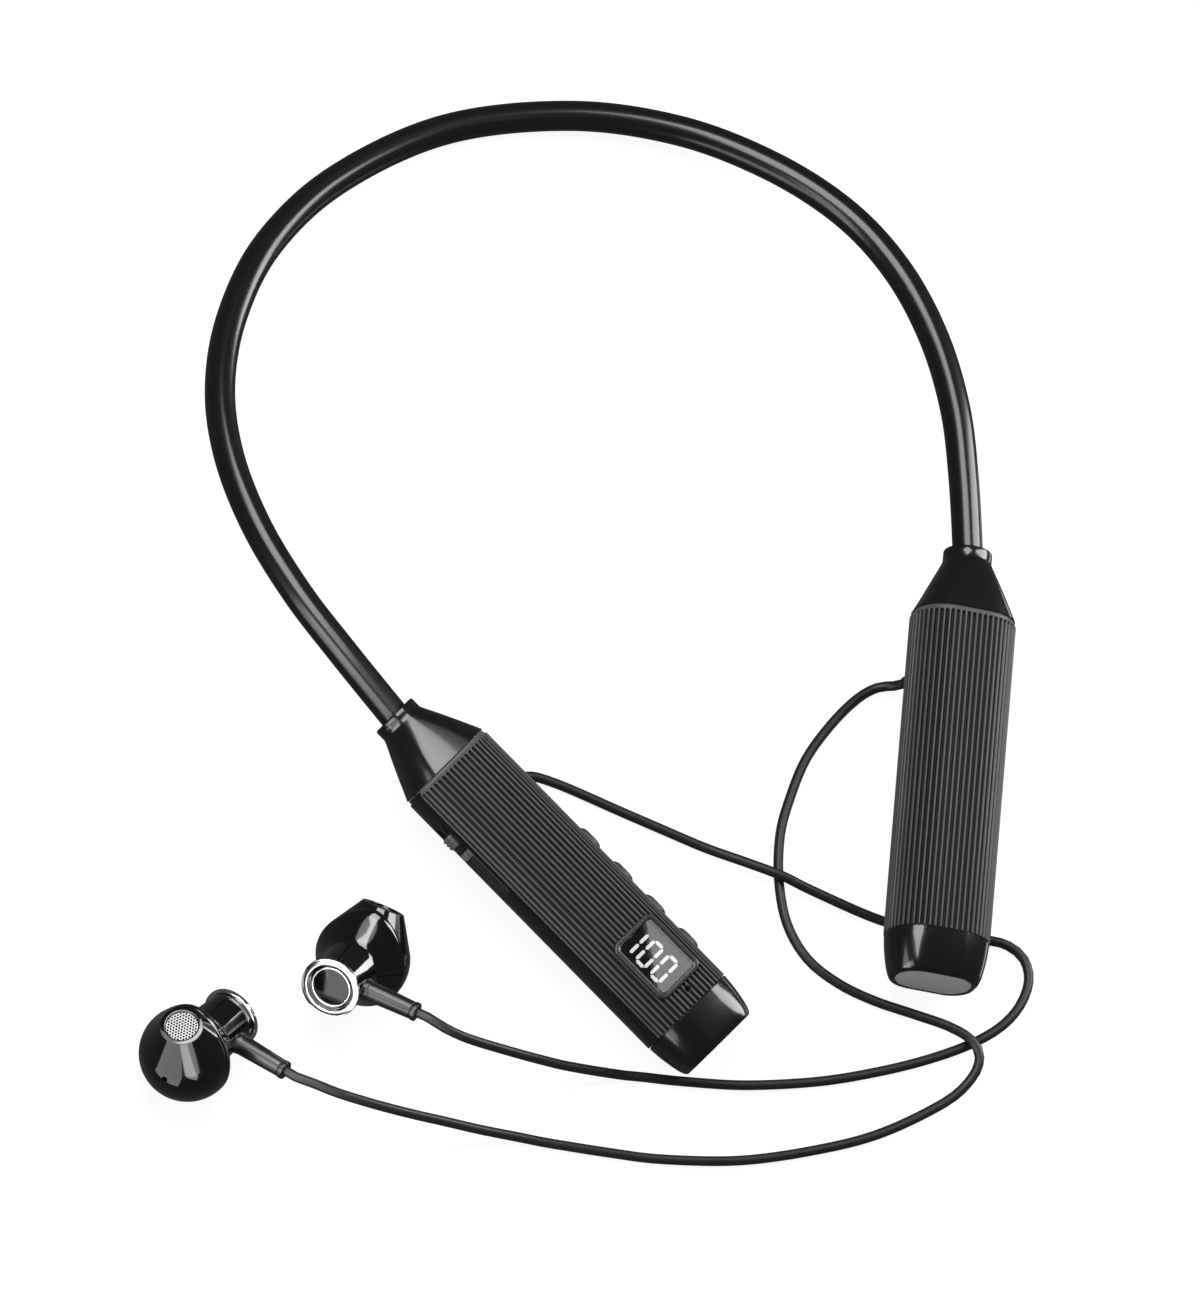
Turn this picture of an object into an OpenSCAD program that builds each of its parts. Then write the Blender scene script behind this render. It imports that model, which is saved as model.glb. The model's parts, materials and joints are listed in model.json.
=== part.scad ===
/* [Neckband] */
// Half the distance between the two ferrule mouths
leg_x = 56.9; // [52:0.1:64]
// Angle by which each pod turns in towards the other
toe_in = 26.2; // [22:0.1:30]
// Slope of the pods' plane when the neckband lies on a table
tilt = 4.7; // [4:0.1:5]
// Outer diameter of the band
band_d = 5.4; // [5:0.1:6]
// Wall of the band's silicone tube
band_wall = 0.9; // [0.7:0.05:1]
// Diameter of the spring-steel memory wire
spring_d = 0.9; // [0.7:0.05:1]
// Diameter of the bundle of signal wires
bundle_d = 1.3; // [1:0.05:1.4]

/* [Pods] */
// Length of a pod's ribbed sleeve
sleeve_len = 60.1; // [59:0.1:72]
// Width of a pod
sleeve_w = 18.8; // [18.4:0.1:21]
// Thickness of a pod
sleeve_t = 13.8; // [13.5:0.1:15]
// Radius of a pod's long rounded edges
sleeve_r = 6.5; // [6:0.1:6.7]
// How far the pod's centre sits above the band's axis
sleeve_rise = 0.4; // [0.2:0.05:0.6]
// Wall of the pod shells
wall = 1.2; // [1:0.05:1.4]
// Length of the ferrule between band and sleeve
ferrule_len = 12.7; // [12:0.1:15]
// Diameter of the ferrule's mouth
mouth_d = 8.6; // [8:0.1:9.4]
// Length of the end cap
cap_len = 8; // [7.5:0.1:10]

/* [Ribs] */
// Distance from one groove to the next, measured round the shell
rib_pitch = 1; // [0.9:0.05:1.2]
// Width of a groove
groove_w = 0.45; // [0.35:0.05:0.55]
// Depth of a groove
groove_depth = 0.45; // [0.3:0.05:0.6]
// Plain rim left between the ferrule and the grooves
rib_margin = 0.9; // [0.6:0.1:2]

/* [Display] */
// Distance from the ferrule's mouth to the middle of the display
display_s = 62.2; // [60.5:0.1:62.5]
// Length of the display bezel
bezel_len = 13.2; // [12.6:0.1:13.4]
// Width of the display bezel
bezel_w = 10.5; // [10:0.1:11.5]
// Width of the bezel's own frame
bezel_rim = 0.95; // [0.8:0.05:1.1]
// How far the bezel stands above the shell
bezel_proud = 0.35; // [0.2:0.05:0.5]
// Height of a numeral
digit_h = 5.9; // [4.5:0.1:6]

/* [Buttons] */
// Distance from the ferrule's mouth to the first button
button_s = 39.4; // [39:0.1:40]
// Distance from one button to the next
button_pitch = 8.13; // [7:0.01:8.2]
// Length of a button
button_len = 5.2; // [4.4:0.1:5.4]
// Width of a button
button_w = 3.4; // [3:0.1:3.6]
// How far a button stands out of the shell
button_proud = 0.9; // [0.6:0.05:1.2]
// Travel of a button
button_travel = 0.35; // [0.2:0.05:0.4]
// Gap all round a moving piece
gap = 0.1; // [0.08:0.01:0.15]

/* [Switch and port] */
// Distance from the ferrule's mouth to the power switch at rest
switch_s = 23; // [22.8:0.1:23.2]
// Travel of the power switch
switch_travel = 2.4; // [1.5:0.1:2.6]
// How far the switch knob stands out of the shell
knob_proud = 0.7; // [0.4:0.05:1]
// Distance from the ferrule's mouth to the middle of the charging port
port_s = 31.1; // [31:0.1:31.5]
// Length of the port's rubber flap
flap_len = 10.6; // [10.2:0.1:10.8]
// Width of the port's rubber flap
flap_w = 4.2; // [4:0.1:4.4]

/* [Cords] */
// Diameter of the earbud cords
cord_d = 1.75; // [1.5:0.05:1.8]
// Distance from the ferrule's mouth to the cord's grommet
grommet_s = 23.5; // [20:0.1:26]

/* [Earbuds] */
// Diameter of an earbud's bulb
bulb_d = 17; // [15:0.1:17.2]
// Diameter of an earbud's barrel at its end
barrel_d = 10.2; // [9.8:0.1:11]
// Distance from the bulb's widest circle to the end of the barrel
barrel_end = 12.6; // [12:0.1:14]
// Outer diameter of the chrome end ring
ring_d = 10.9; // [10.6:0.1:11.6]
// Angle of the nozzle from the bulb's front
nozzle_tilt = 66; // [50:1:66]
// Length of the stem beyond the barrel's axis
stem_reach = 15.1; // [14:0.1:17]

/* [Hidden] */
$fn = 64;

piano_black = [0.03, 0.03, 0.035];
satin_grey = [0.16, 0.16, 0.17];
light_grey = [0.62, 0.63, 0.65];

// Middle of the whole object's footprint, seen from the neckband's own centre line
frame_x = 27.5;
frame_y = -15.5;

// The band's right half in the pods' plane: from the ferrule's mouth to the apex
band_half = [
    [leg_x, 0, 0],
    [leg_x + 4.5, 13, -0.5],
    [leg_x + 8.3, 26, -1.6],
    [leg_x + 10.2, 40, -3.6],
    [leg_x + 9.3, 54, -6.1],
    [leg_x + 5, 67, -9],
    [leg_x - 3.6, 79.6, -12.5],
    [leg_x - 16.4, 91, -16],
    [leg_x - 34, 99.3, -18.4],
];
band_apex = [0, 103, -19.2];
band_insert = 3;

sleeve_start = ferrule_len;
sleeve_end = ferrule_len + sleeve_len;
pod_len = sleeve_end + cap_len;
spigot_len = 2.5;
cap_spigot_len = 1.2;
spigot_gap = 0.1;
bore_gap = 0.05;
// The seam between front and back shell slopes from one side of the pod to the other
seam_rise = 3.3;
seam_angle = atan2(-seam_rise, sleeve_w / 2);
seam_gap = 0.05;

// Height of the pods' plane at the ferrule mouths, with the band's apex on the table
lift = band_d / 2 - band_apex[1] * sin(tilt) - band_apex[2] * cos(tilt);

// ---------- vectors, curves and tubes

function unit(v) = v / norm(v);
function flip_x(p) = [-p[0], p[1], p[2]];
function rot_x(v, a) = [v[0], v[1] * cos(a) - v[2] * sin(a), v[1] * sin(a) + v[2] * cos(a)];
function rot_y(v, a) = [v[0] * cos(a) + v[2] * sin(a), v[1], v[2] * cos(a) - v[0] * sin(a)];
function rot_z(v, a) = [v[0] * cos(a) - v[1] * sin(a), v[0] * sin(a) + v[1] * cos(a), v[2]];

// One point of a smooth curve through the points p, at t from 0 to 1 past point i
function curve_point(p, i, t) =
    let (a = p[max(i - 1, 0)], b = p[i], c = p[i + 1], d = p[min(i + 2, len(p) - 1)])
    0.5 * (2 * b + (c - a) * t + (2 * a - 5 * b + 4 * c - d) * t * t
        + (3 * b - a - 3 * c + d) * t * t * t);

// The same curve as points, about a spacing apart
function curve(p, spacing) = [
    for (i = [0 : len(p) - 2])
        let (steps = max(1, round(norm(p[i + 1] - p[i]) / spacing)))
            for (k = [0 : steps - 1]) curve_point(p, i, k / steps),
    p[len(p) - 1],
];

function tangent(path, i) = unit(path[min(i + 1, len(path) - 1)] - path[max(i - 1, 0)]);

// A tube along a path that never runs straight up or down; its ends may set their own direction
module tube(path, d, sides, first = undef, last = undef) {
    n = len(path);
    dirs = [for (i = [0 : n - 1])
        i == 0 && first != undef ? unit(first)
        : i == n - 1 && last != undef ? unit(last)
        : tangent(path, i)];
    points = [
        for (i = [0 : n - 1], k = [0 : sides - 1])
            let (
                side = unit(cross(dirs[i], [0, 0, 1])),
                up = cross(dirs[i], side),
                a = 360 * (k + 0.5) / sides
            )
            path[i] + d / 2 * (cos(a) * side + sin(a) * up),
    ];
    walls = [
        for (i = [0 : n - 2], k = [0 : sides - 1])
            let (a = i * sides + k, b = i * sides + (k + 1) % sides)
            [a + sides, b + sides, b, a],
    ];
    ends = [
        [for (k = [0 : sides - 1]) k],
        [for (k = [sides - 1 : -1 : 0]) (n - 1) * sides + k],
    ];
    polyhedron(points = points, faces = concat(walls, ends), convexity = 8);
}

// ---------- places

// From the neckband's own frame to the table it lies on
module on_table() {
    translate([frame_x, frame_y, lift]) rotate([tilt, 0, 0]) children();
}

function table_point(p) = rot_x(p, tilt) + [frame_x, frame_y, lift];

// From a pod's frame: x to its inner side, y up out of its front, z from ferrule to cap
module on_left_leg() {
    on_table() translate([-leg_x, 0, 0]) rotate([90, 0, toe_in]) children();
}

module on_right_leg() {
    on_table() mirror([1, 0, 0]) translate([-leg_x, 0, 0]) rotate([90, 0, toe_in]) children();
}

// The same as a point in the neckband's frame; side is -1 on the left and 1 on the right
function leg_dir(side, v) =
    let (w = rot_z([v[0], -v[2], v[1]], toe_in)) [-side * w[0], w[1], w[2]];
function leg_point(side, p) = leg_dir(side, p) + [side * leg_x, 0, 0];

// ---------- the pod's outline

// Rounded rectangle of width w, height t and corner radius r
module round_rect(w, t, r) {
    square([w - 2 * r, t], center = true);
    square([w, t - 2 * r], center = true);
    for (x = [-1, 1], y = [-1, 1])
        translate([x * (w / 2 - r), y * (t / 2 - r)]) circle(r);
}

// The sleeve's section, drawn in by inset, from one distance along the pod to another
module sleeve_slug(inset, from, to) {
    translate([0, sleeve_rise, from])
        linear_extrude(to - from)
            round_rect(sleeve_w - 2 * inset, sleeve_t - 2 * inset, sleeve_r - inset);
}

// A ring of points round a section: half width, half thickness, corner radius, rise, distance
corner_steps = 8;
function section_ring(hw, ht, r, rise, s) = [
    for (q = [0 : 3], k = [0 : corner_steps - 1])
        let (
            a = 90 * q + 90 * (k + 0.5) / corner_steps,
            sx = q == 0 || q == 3 ? 1 : -1,
            sy = q < 2 ? 1 : -1
        )
        [sx * (hw - r) + r * cos(a), sy * (ht - r) + r * sin(a) + rise, s],
];

// A solid through section rings, each given as [distance, half width, half thickness, radius, rise]
module section_loft(rows) {
    sides = 4 * corner_steps;
    n = len(rows);
    points = [for (w = rows) each section_ring(w[1], w[2], w[3], w[4], w[0])];
    walls = [
        for (i = [0 : n - 2], k = [0 : sides - 1])
            let (a = i * sides + k, b = i * sides + (k + 1) % sides)
            [a, a + sides, b + sides, b],
    ];
    ends = [
        [for (k = [0 : sides - 1]) k],
        [for (k = [sides - 1 : -1 : 0]) (n - 1) * sides + k],
    ];
    polyhedron(points = points, faces = concat(walls, ends), convexity = 4);
}

// ---------- the band

band_spacing = 4.7;
band_right = curve(concat(band_half, [band_apex, flip_x(band_half[len(band_half) - 1])]), band_spacing);
apex_at = len(band_right) - 1 - round(norm(band_apex - band_half[len(band_half) - 1]) / band_spacing);
band_run = concat(
    [for (i = [0 : apex_at - 1]) flip_x(band_right[i])],
    [for (i = [apex_at : -1 : 0]) band_right[i]]
);
// The ends run straight into the ferrules
band_path = concat(
    [leg_point(-1, [0, 0, band_insert])], band_run, [leg_point(1, [0, 0, band_insert])]
);

module along_band(path, d, sides) {
    tube(path, d, sides, leg_dir(-1, [0, 0, -1]), leg_dir(1, [0, 0, 1]));
}

// The bore's path runs on past both ends of the tube
bore_path = concat(
    [leg_point(-1, [0, 0, band_insert + 1])], band_run, [leg_point(1, [0, 0, band_insert + 1])]
);

module band_tube() {
    color(piano_black) on_table() difference() {
        along_band(band_path, band_d, 20);
        along_band(bore_path, band_d - 2 * band_wall, 12);
    }
}

// A thinner path inside the band, off its centre, reaching further into both pods
function inner_path(offset, reach) = concat(
    [leg_point(-1, [0, offset, reach]), leg_point(-1, [0, offset, band_insert])],
    [for (i = [1 : 2 : len(band_run) - 2]) band_run[i] + [0, 0, offset]],
    [leg_point(1, [0, offset, band_insert]), leg_point(1, [0, offset, reach])]
);
spring_offset = -1;
bundle_offset = 0.85;

module memory_wire() {
    color("silver") on_table() along_band(inner_path(spring_offset, 10), spring_d, 8);
}

module band_wires() {
    color("firebrick") on_table() along_band(inner_path(bundle_offset, 14.5), bundle_d, 8);
}

// ---------- pod pieces that both sides share

wire_bore = 4.4;

module ferrule() {
    m = mouth_d / 2;
    hw = sleeve_w / 2 - 0.3;
    ht = sleeve_t / 2 - 0.3;
    color(piano_black) difference() {
        union() {
            section_loft([
                [0, m - 0.2, m - 0.2, m - 0.25, 0],
                [0.3, m, m, m - 0.05, 0],
                [2, m, m, m - 0.05, 0],
                [3, m + 0.12 * (hw - m), m + 0.2 * (ht - m), m + 0.25, 0.05],
                [0.43 * ferrule_len, m + 0.37 * (hw - m), m + 0.48 * (ht - m), m + 0.8, 0.15],
                [0.62 * ferrule_len, m + 0.6 * (hw - m), m + 0.7 * (ht - m), m + 1.2, 0.25],
                [0.83 * ferrule_len, m + 0.83 * (hw - m), m + 0.88 * (ht - m), m + 1.5, 0.35],
                [ferrule_len, hw, ht, sleeve_r - 0.3, sleeve_rise],
            ]);
            sleeve_slug(wall + spigot_gap, ferrule_len, ferrule_len + spigot_len);
        }
        translate([0, 0, -1]) cylinder(d = band_d + 2 * bore_gap, h = band_insert + 1 + bore_gap);
        cylinder(d = wire_bore, h = ferrule_len + spigot_len + 1);
    }
}

module end_cap() {
    hw = sleeve_w / 2 - 0.15;
    ht = sleeve_t / 2 - 0.15;
    s = sleeve_end;
    color(piano_black) difference() {
        union() {
            section_loft([
                [s, hw, ht, sleeve_r - 0.15, sleeve_rise],
                [s + 0.3 * cap_len, hw - 0.2, ht - 0.2, sleeve_r - 0.4, sleeve_rise],
                [s + 0.6 * cap_len, hw - 0.6, ht - 0.55, sleeve_r - 0.8, sleeve_rise],
                [s + 0.82 * cap_len, hw - 1.05, ht - 0.9, sleeve_r - 1.3, sleeve_rise],
                [s + 0.95 * cap_len, hw - 1.5, ht - 1.25, sleeve_r - 1.75, sleeve_rise],
                [s + cap_len, hw - 1.9, ht - 1.6, sleeve_r - 2.2, sleeve_rise],
            ]);
            sleeve_slug(wall + spigot_gap, s - cap_spigot_len, s);
        }
        end_plate_blank(spigot_gap);
        sleeve_slug(wall + 2, s - cap_spigot_len - 1, s + cap_len / 2);
    }
}

plate_depth = 0.6;
plate_inset = 2.6;
module end_plate_blank(grow) {
    w = sleeve_w - 2 * plate_inset + 2 * grow;
    t = sleeve_t - 2 * (plate_inset - 0.2) + 2 * grow;
    translate([0, sleeve_rise, pod_len - plate_depth])
        linear_extrude(plate_depth + grow) round_rect(w, t, t / 2 - 0.3);
}

module end_plate() {
    color(light_grey) intersection() {
        end_plate_blank(0);
        translate([-20, -20, 0]) cube([40, 40, pod_len]);
    }
}

// ---------- ribs

flat_x = sleeve_w / 2 - sleeve_r;
flat_y = sleeve_t / 2 - sleeve_r;
corner_run = sleeve_r * PI / 2;
// Place and outward direction on the sleeve, u millimetres round it from the middle of its front
function rib_angle(u) =
    let (v = abs(u))
    v < flat_x ? 0
    : v < flat_x + corner_run ? (v - flat_x) / sleeve_r * 180 / PI
    : v < flat_x + corner_run + 2 * flat_y ? 90
    : 90 + (v - flat_x - corner_run - 2 * flat_y) / sleeve_r * 180 / PI;
function rib_point(u) =
    let (v = abs(u), a = rib_angle(u), side = u < 0 ? -1 : 1)
    v < flat_x ? [u, sleeve_t / 2 + sleeve_rise]
    : a == 90 ? [side * sleeve_w / 2, flat_y - (v - flat_x - corner_run) + sleeve_rise]
    : [side * (flat_x + sleeve_r * sin(a)),
        (a < 90 ? flat_y : -flat_y) + sleeve_r * cos(a) + sleeve_rise];

outer_ribs = 10;
inner_ribs = 16;

module groove(u) {
    side = u < 0 ? -1 : 1;
    start = sleeve_start + rib_margin + groove_w / 2;
    translate(rib_point(u)) rotate([0, 0, -side * rib_angle(u)]) {
        translate([-groove_w / 2, -groove_depth, start])
            cube([groove_w, 2 * groove_depth, sleeve_len]);
        translate([0, groove_depth, start])
            rotate([90, 0, 0]) cylinder(d = groove_w, h = 2 * groove_depth, $fn = 16);
    }
}

// ---------- shells

shoulder = 0.35;

// The sleeve as a hollow tube with a small step where it meets the ferrule
module sleeve_tube() {
    difference() {
        union() {
            sleeve_slug(shoulder, sleeve_start, sleeve_start + 2 * shoulder);
            sleeve_slug(0, sleeve_start + 2 * shoulder, sleeve_end);
        }
        sleeve_slug(wall, sleeve_start - 1, sleeve_end + 1);
    }
}

// Everything on the front's side of the seam, or on the back's with up = -1
module seam_half(up) {
    rotate([0, 0, seam_angle])
        translate([-20, up > 0 ? seam_gap : -20 - seam_gap, 0]) cube([40, 20, pod_len]);
}

module front_blank() {
    difference() {
        intersection() {
            sleeve_tube();
            seam_half(1);
        }
        for (i = [-outer_ribs : inner_ribs]) groove(i * rib_pitch);
    }
}

module back_blank() {
    difference() {
        intersection() {
            sleeve_tube();
            seam_half(-1);
        }
        grommet_place() cylinder(d = grommet_d + 2 * spigot_gap, h = 8, center = true);
    }
}

// ---------- cord grommets

grommet_angle = -60;
grommet_d = 3.2;
grommet_out = 2.2;
grommet_root = [
    flat_x + sleeve_r * cos(grommet_angle),
    sleeve_rise - flat_y + sleeve_r * sin(grommet_angle),
    grommet_s,
];
grommet_dir = [cos(grommet_angle), sin(grommet_angle), 0];

// z out of the shell along the grommet, from the shell's surface
module grommet_place() {
    translate(grommet_root) rotate([90, 0, 90 + grommet_angle]) children();
}

module cord_grommet() {
    color(satin_grey) grommet_place() {
        cylinder(d1 = grommet_d, d2 = grommet_d - 0.7, h = grommet_out);
        translate([0, 0, -wall - 0.7]) cylinder(d = grommet_d, h = wall + 0.7);
        translate([0, 0, -wall - 1.4]) cylinder(d = grommet_d + 1.2, h = 0.7);
    }
}

// ---------- what the pods hold

board_y = -2.6;
board_t = 0.8;
board_w = 12;

module board(from, to) {
    translate([-board_w / 2, board_y, from]) cube([board_w, board_t, to - from]);
}

module left_circuit_board() {
    color("darkgreen") on_left_leg() {
        board(sleeve_start + 4, sleeve_end - 4);
        translate([-4.5, board_y - 1, 44]) cube([6, 1, 6]);
        translate([-4.5, board_y - 0.9, 54]) cube([4, 0.9, 4]);
    }
}

module right_circuit_board() {
    color("darkgreen") on_right_leg() {
        board(sleeve_end - 18, sleeve_end - 4);
        translate([-3, board_y - 1, sleeve_end - 14]) cube([5, 1, 5]);
    }
}

module left_battery() {
    color("silver") on_left_leg() translate([-5, 2.3, sleeve_start + 4]) cube([10, 2.9, 37]);
}

module right_battery() {
    color("silver") on_right_leg()
        translate([-6, board_y, sleeve_start + 4]) cube([12, 6.6, sleeve_len - 26]);
}

// ---------- display

front_y = sleeve_t / 2 + sleeve_rise;
bezel_depth = 2.2;
window_t = 0.8;
pane_len = bezel_len - 2 * bezel_rim;
pane_w = bezel_w - 2 * bezel_rim;

// A block with rounded corners seen from the front, between two heights
module front_block(len, w, r, from, to) {
    translate([0, to, display_s]) rotate([90, 0, 0])
        linear_extrude(to - from) round_rect(w, len, r);
}

module display_bezel() {
    top = front_y + bezel_proud;
    color(satin_grey) on_left_leg() difference() {
        front_block(bezel_len, bezel_w, 1.6, top - bezel_depth, top);
        front_block(pane_len, pane_w, 0.8, top - bezel_depth - 1, top + 1);
    }
}

window_top = front_y + bezel_proud - 0.12;

module display_window() {
    color([0.05, 0.05, 0.06, 0.5]) on_left_leg()
        front_block(pane_len, pane_w, 0.8, window_top - window_t, window_top);
}

module_top = window_top - window_t - 0.25;

module display_module() {
    color("dimgray") on_left_leg()
        front_block(pane_len - 0.2, pane_w - 0.2, 0.6, module_top - 1.5, module_top);
}

// Seven bars of one numeral, in the order top, upper right, lower right, bottom, lower left,
// upper left, middle; the numeral stands along x with its top at +x
bar_t = 0.8;
bar_gap = 0.15;
digit_w = 2.7;
digit_pitch = 3.6;
digits_x = -0.3;
digits_s = display_s - 1.1;
numerals = [
    [0, 1, 1, 0, 0, 0, 0],
    [1, 1, 1, 1, 1, 1, 0],
    [1, 1, 1, 1, 1, 1, 0],
];

// A bar with pointed ends, its middle at x and z
module bar(x, z, len, upright) {
    tip = len / 2;
    t = bar_t / 2;
    translate([x, module_top, z]) rotate([-90, 0, 0]) linear_extrude(0.15)
        rotate(upright ? 0 : 90)
            polygon([[-tip, 0], [t - tip, t], [tip - t, t], [tip, 0], [tip - t, -t], [t - tip, -t]]);
}

module numeral(lit) {
    top = (digit_h - bar_t) / 2;
    edge = (digit_w - bar_t) / 2;
    long = top - bar_gap;
    across = 2 * edge - bar_gap;
    if (lit[0] == 1) bar(top, 0, across, false);
    if (lit[1] == 1) bar(top / 2, edge, long, true);
    if (lit[2] == 1) bar(-top / 2, edge, long, true);
    if (lit[3] == 1) bar(-top, 0, across, false);
    if (lit[4] == 1) bar(-top / 2, -edge, long, true);
    if (lit[5] == 1) bar(top / 2, -edge, long, true);
    if (lit[6] == 1) bar(0, 0, across, false);
}

module display_digits() {
    color("white") on_left_leg()
        for (i = [0 : 2])
            translate([digits_x, 0, digits_s + (i - 1) * digit_pitch]) numeral(numerals[i]);
}

mic_s = 70.1;
mic_hole_d = 0.75;

module microphone() {
    color("gold") on_left_leg()
        translate([-1.2, front_y - wall - 1.1, mic_s - 1.2]) cube([2.4, 1, 2.4]);
}

// ---------- buttons

button_y = 0.6;
button_face = sleeve_w / 2 + button_proud;
flange_t = 0.6;
flange_x = sleeve_w / 2 - wall - 0.5;

// A pill-shaped slug along x, its long side along the pod
module pill(len, w, from, to) {
    translate([from, button_y, 0]) rotate([90, 0, 90]) linear_extrude(to - from) {
        square([w, len - w], center = true);
        for (k = [-1, 1]) translate([0, k * (len - w) / 2]) circle(d = w);
    }
}

module at_button(i) {
    translate([0, 0, button_s + i * button_pitch]) children();
}

module button(i) {
    color(satin_grey) on_left_leg() at_button(i) {
        pill(button_len, button_w, flange_x, button_face - 0.3);
        pill(button_len - 0.6, button_w - 0.6, button_face - 0.3, button_face);
        pill(button_len + 0.8, button_w + 0.8, flange_x - flange_t, flange_x);
    }
}

module tact_switches() {
    back = flange_x - flange_t - button_travel - gap;
    color("gray") on_left_leg() for (i = [0 : 3]) at_button(i) {
        translate([back - 2.2, button_y - 1.3, -1.9]) cube([1.9, 2.6, 3.8]);
        translate([back - 0.4, button_y, 0]) rotate([0, 90, 0]) cylinder(d = 1.4, h = 0.4, $fn = 24);
        translate([back - 2.2, board_y + board_t, -1.2])
            cube([0.8, button_y - 1.3 - board_y - board_t + 0.2, 2.4]);
    }
}

// ---------- power switch

switch_y = 0.4;
knob_len = 2.4;
knob_w = 2.6;
knob_depth = 0.9;
slot_w = 1.2;
recess_ends = 0.7;

// A block on the pod's outer side: depth from and to, distances along the pod, width
module side_block(from, to, s0, s1, w) {
    translate([-sleeve_w / 2 - to, switch_y - w / 2, s0]) cube([to - from, w, s1 - s0]);
}

switch_low = switch_s - switch_travel - knob_len / 2 - recess_ends;
switch_high = switch_s + knob_len / 2 + gap;

module switch_cut() {
    side_block(-knob_depth, 1, switch_low, switch_high, knob_w + 4 * gap);
    side_block(-wall - 1, 1, switch_s - switch_travel - slot_w / 2 - 2 * gap,
        switch_s + slot_w / 2 + 2 * gap, slot_w + 2 * gap);
}

module power_switch_knob() {
    color(light_grey) on_left_leg() {
        side_block(gap - knob_depth, knob_proud, switch_s - knob_len / 2,
            switch_s + knob_len / 2, knob_w);
        side_block(-wall - 0.9, gap - knob_depth, switch_s - slot_w / 2,
            switch_s + slot_w / 2, slot_w);
    }
}

module power_switch_housing() {
    low = switch_s - switch_travel - 2;
    color("silver") on_left_leg() difference() {
        side_block(-wall - 3.2, -wall - 0.2, low, switch_s + 1.4, 3.2);
        side_block(-wall - 1.1, -wall, switch_s - switch_travel - slot_w / 2 - gap,
            switch_s + slot_w / 2 + gap, slot_w + 2 * gap);
    }
}

// ---------- charging port

socket_len = 8.94;
socket_w = 3.2;
socket_depth = 6.5;
socket_wall = 0.3;
flap_t = 0.9;
flap_low = port_s - flap_len / 2;
flap_high = port_s + flap_len / 2;

module stadium_x(len, w, from, to) {
    translate([-sleeve_w / 2 - to, switch_y, port_s]) rotate([90, 0, 90])
        linear_extrude(to - from) {
            square([w, len - w], center = true);
            for (k = [-1, 1]) translate([0, k * (len - w) / 2]) circle(d = w);
        }
}

module usb_socket() {
    color("silver") on_left_leg() {
        difference() {
            stadium_x(socket_len, socket_w, -flap_t - socket_depth, -flap_t - 0.1);
            stadium_x(socket_len - 2 * socket_wall, socket_w - 2 * socket_wall,
                -flap_t - socket_depth + 1, 1);
        }
        translate([-sleeve_w / 2 + flap_t + 1.5, switch_y - 0.35, port_s - 3.3])
            cube([socket_depth - 2, 0.7, 6.6]);
    }
}

module port_cut() {
    side_block(-flap_t, 1, flap_low - gap, flap_high + gap, flap_w + 2 * gap);
    stadium_x(socket_len + 2 * gap, socket_w + 2 * gap, -wall - 1, 1);
}

tab_len = 1.5;

// The flap follows the shell's surface
module flap_slice(s0, s1) {
    intersection() {
        side_block(-flap_t + gap, 1, s0, s1, flap_w);
        sleeve_slug(0, s0, s1);
    }
}

module port_flap() {
    color(piano_black) on_left_leg() flap_slice(flap_low + tab_len, flap_high);
}

module port_flap_tab() {
    color(light_grey) on_left_leg() {
        flap_slice(flap_low, flap_low + tab_len);
        side_block(0, 0.35, flap_low + 0.2, flap_low + tab_len, 2);
    }
}

// ---------- the four shells

module left_front_shell() {
    color(satin_grey) on_left_leg() difference() {
        front_blank();
        front_block(bezel_len + 0.04, bezel_w + 0.04, 1.62, front_y - 4, front_y + 2);
        for (i = [0 : 3]) at_button(i)
            pill(button_len + 2 * gap, button_w + 2 * gap, flange_x, button_face + 1);
        translate([0, front_y + 1, mic_s]) rotate([90, 0, 0])
            cylinder(d = mic_hole_d, h = 4, $fn = 24);
    }
}

module right_front_shell() {
    color(satin_grey) on_right_leg() front_blank();
}

module left_back_shell() {
    color(piano_black) on_left_leg() difference() {
        back_blank();
        switch_cut();
        port_cut();
    }
}

module right_back_shell() {
    color(piano_black) on_right_leg() back_blank();
}

// ---------- earbuds

bulb_r = bulb_d / 2;
bulb_z = -1;
shell_t = 1;
nozzle_reach = 10;
nozzle_r = 3.8;
vent_x = 1.1;
stem_z = 7.7;
stem_root_d = 3.8;
stem_end_d = 3.1;

// [place of the bulb's centre, direction of the barrel, its rise, roll of the stem, nozzle's side]
left_bud_pose = [[-50.8, -55.4, 8.7], -153, 29, 158.5, 1];
right_bud_pose = [[-88.2, -63.1, 8.8], 23.5, -14.5, 21.5, -1];

module at_bud(pose) {
    translate(pose[0]) rotate([0, 90 - pose[2], pose[1]]) rotate([0, 0, -90 - pose[3]])
        translate([0, 0, -bulb_z]) children();
}

function bud_dir(pose, v) =
    rot_z(rot_y(rot_z(v, -90 - pose[3]), 90 - pose[2]), pose[1]);
function bud_point(pose, p) = bud_dir(pose, p - [0, 0, bulb_z]) + pose[0];

// z out of the nozzle from the bulb's centre
module at_nozzle(side) {
    translate([0, 0, bulb_z]) rotate([180 + side * nozzle_tilt, 0, 0]) children();
}

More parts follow.
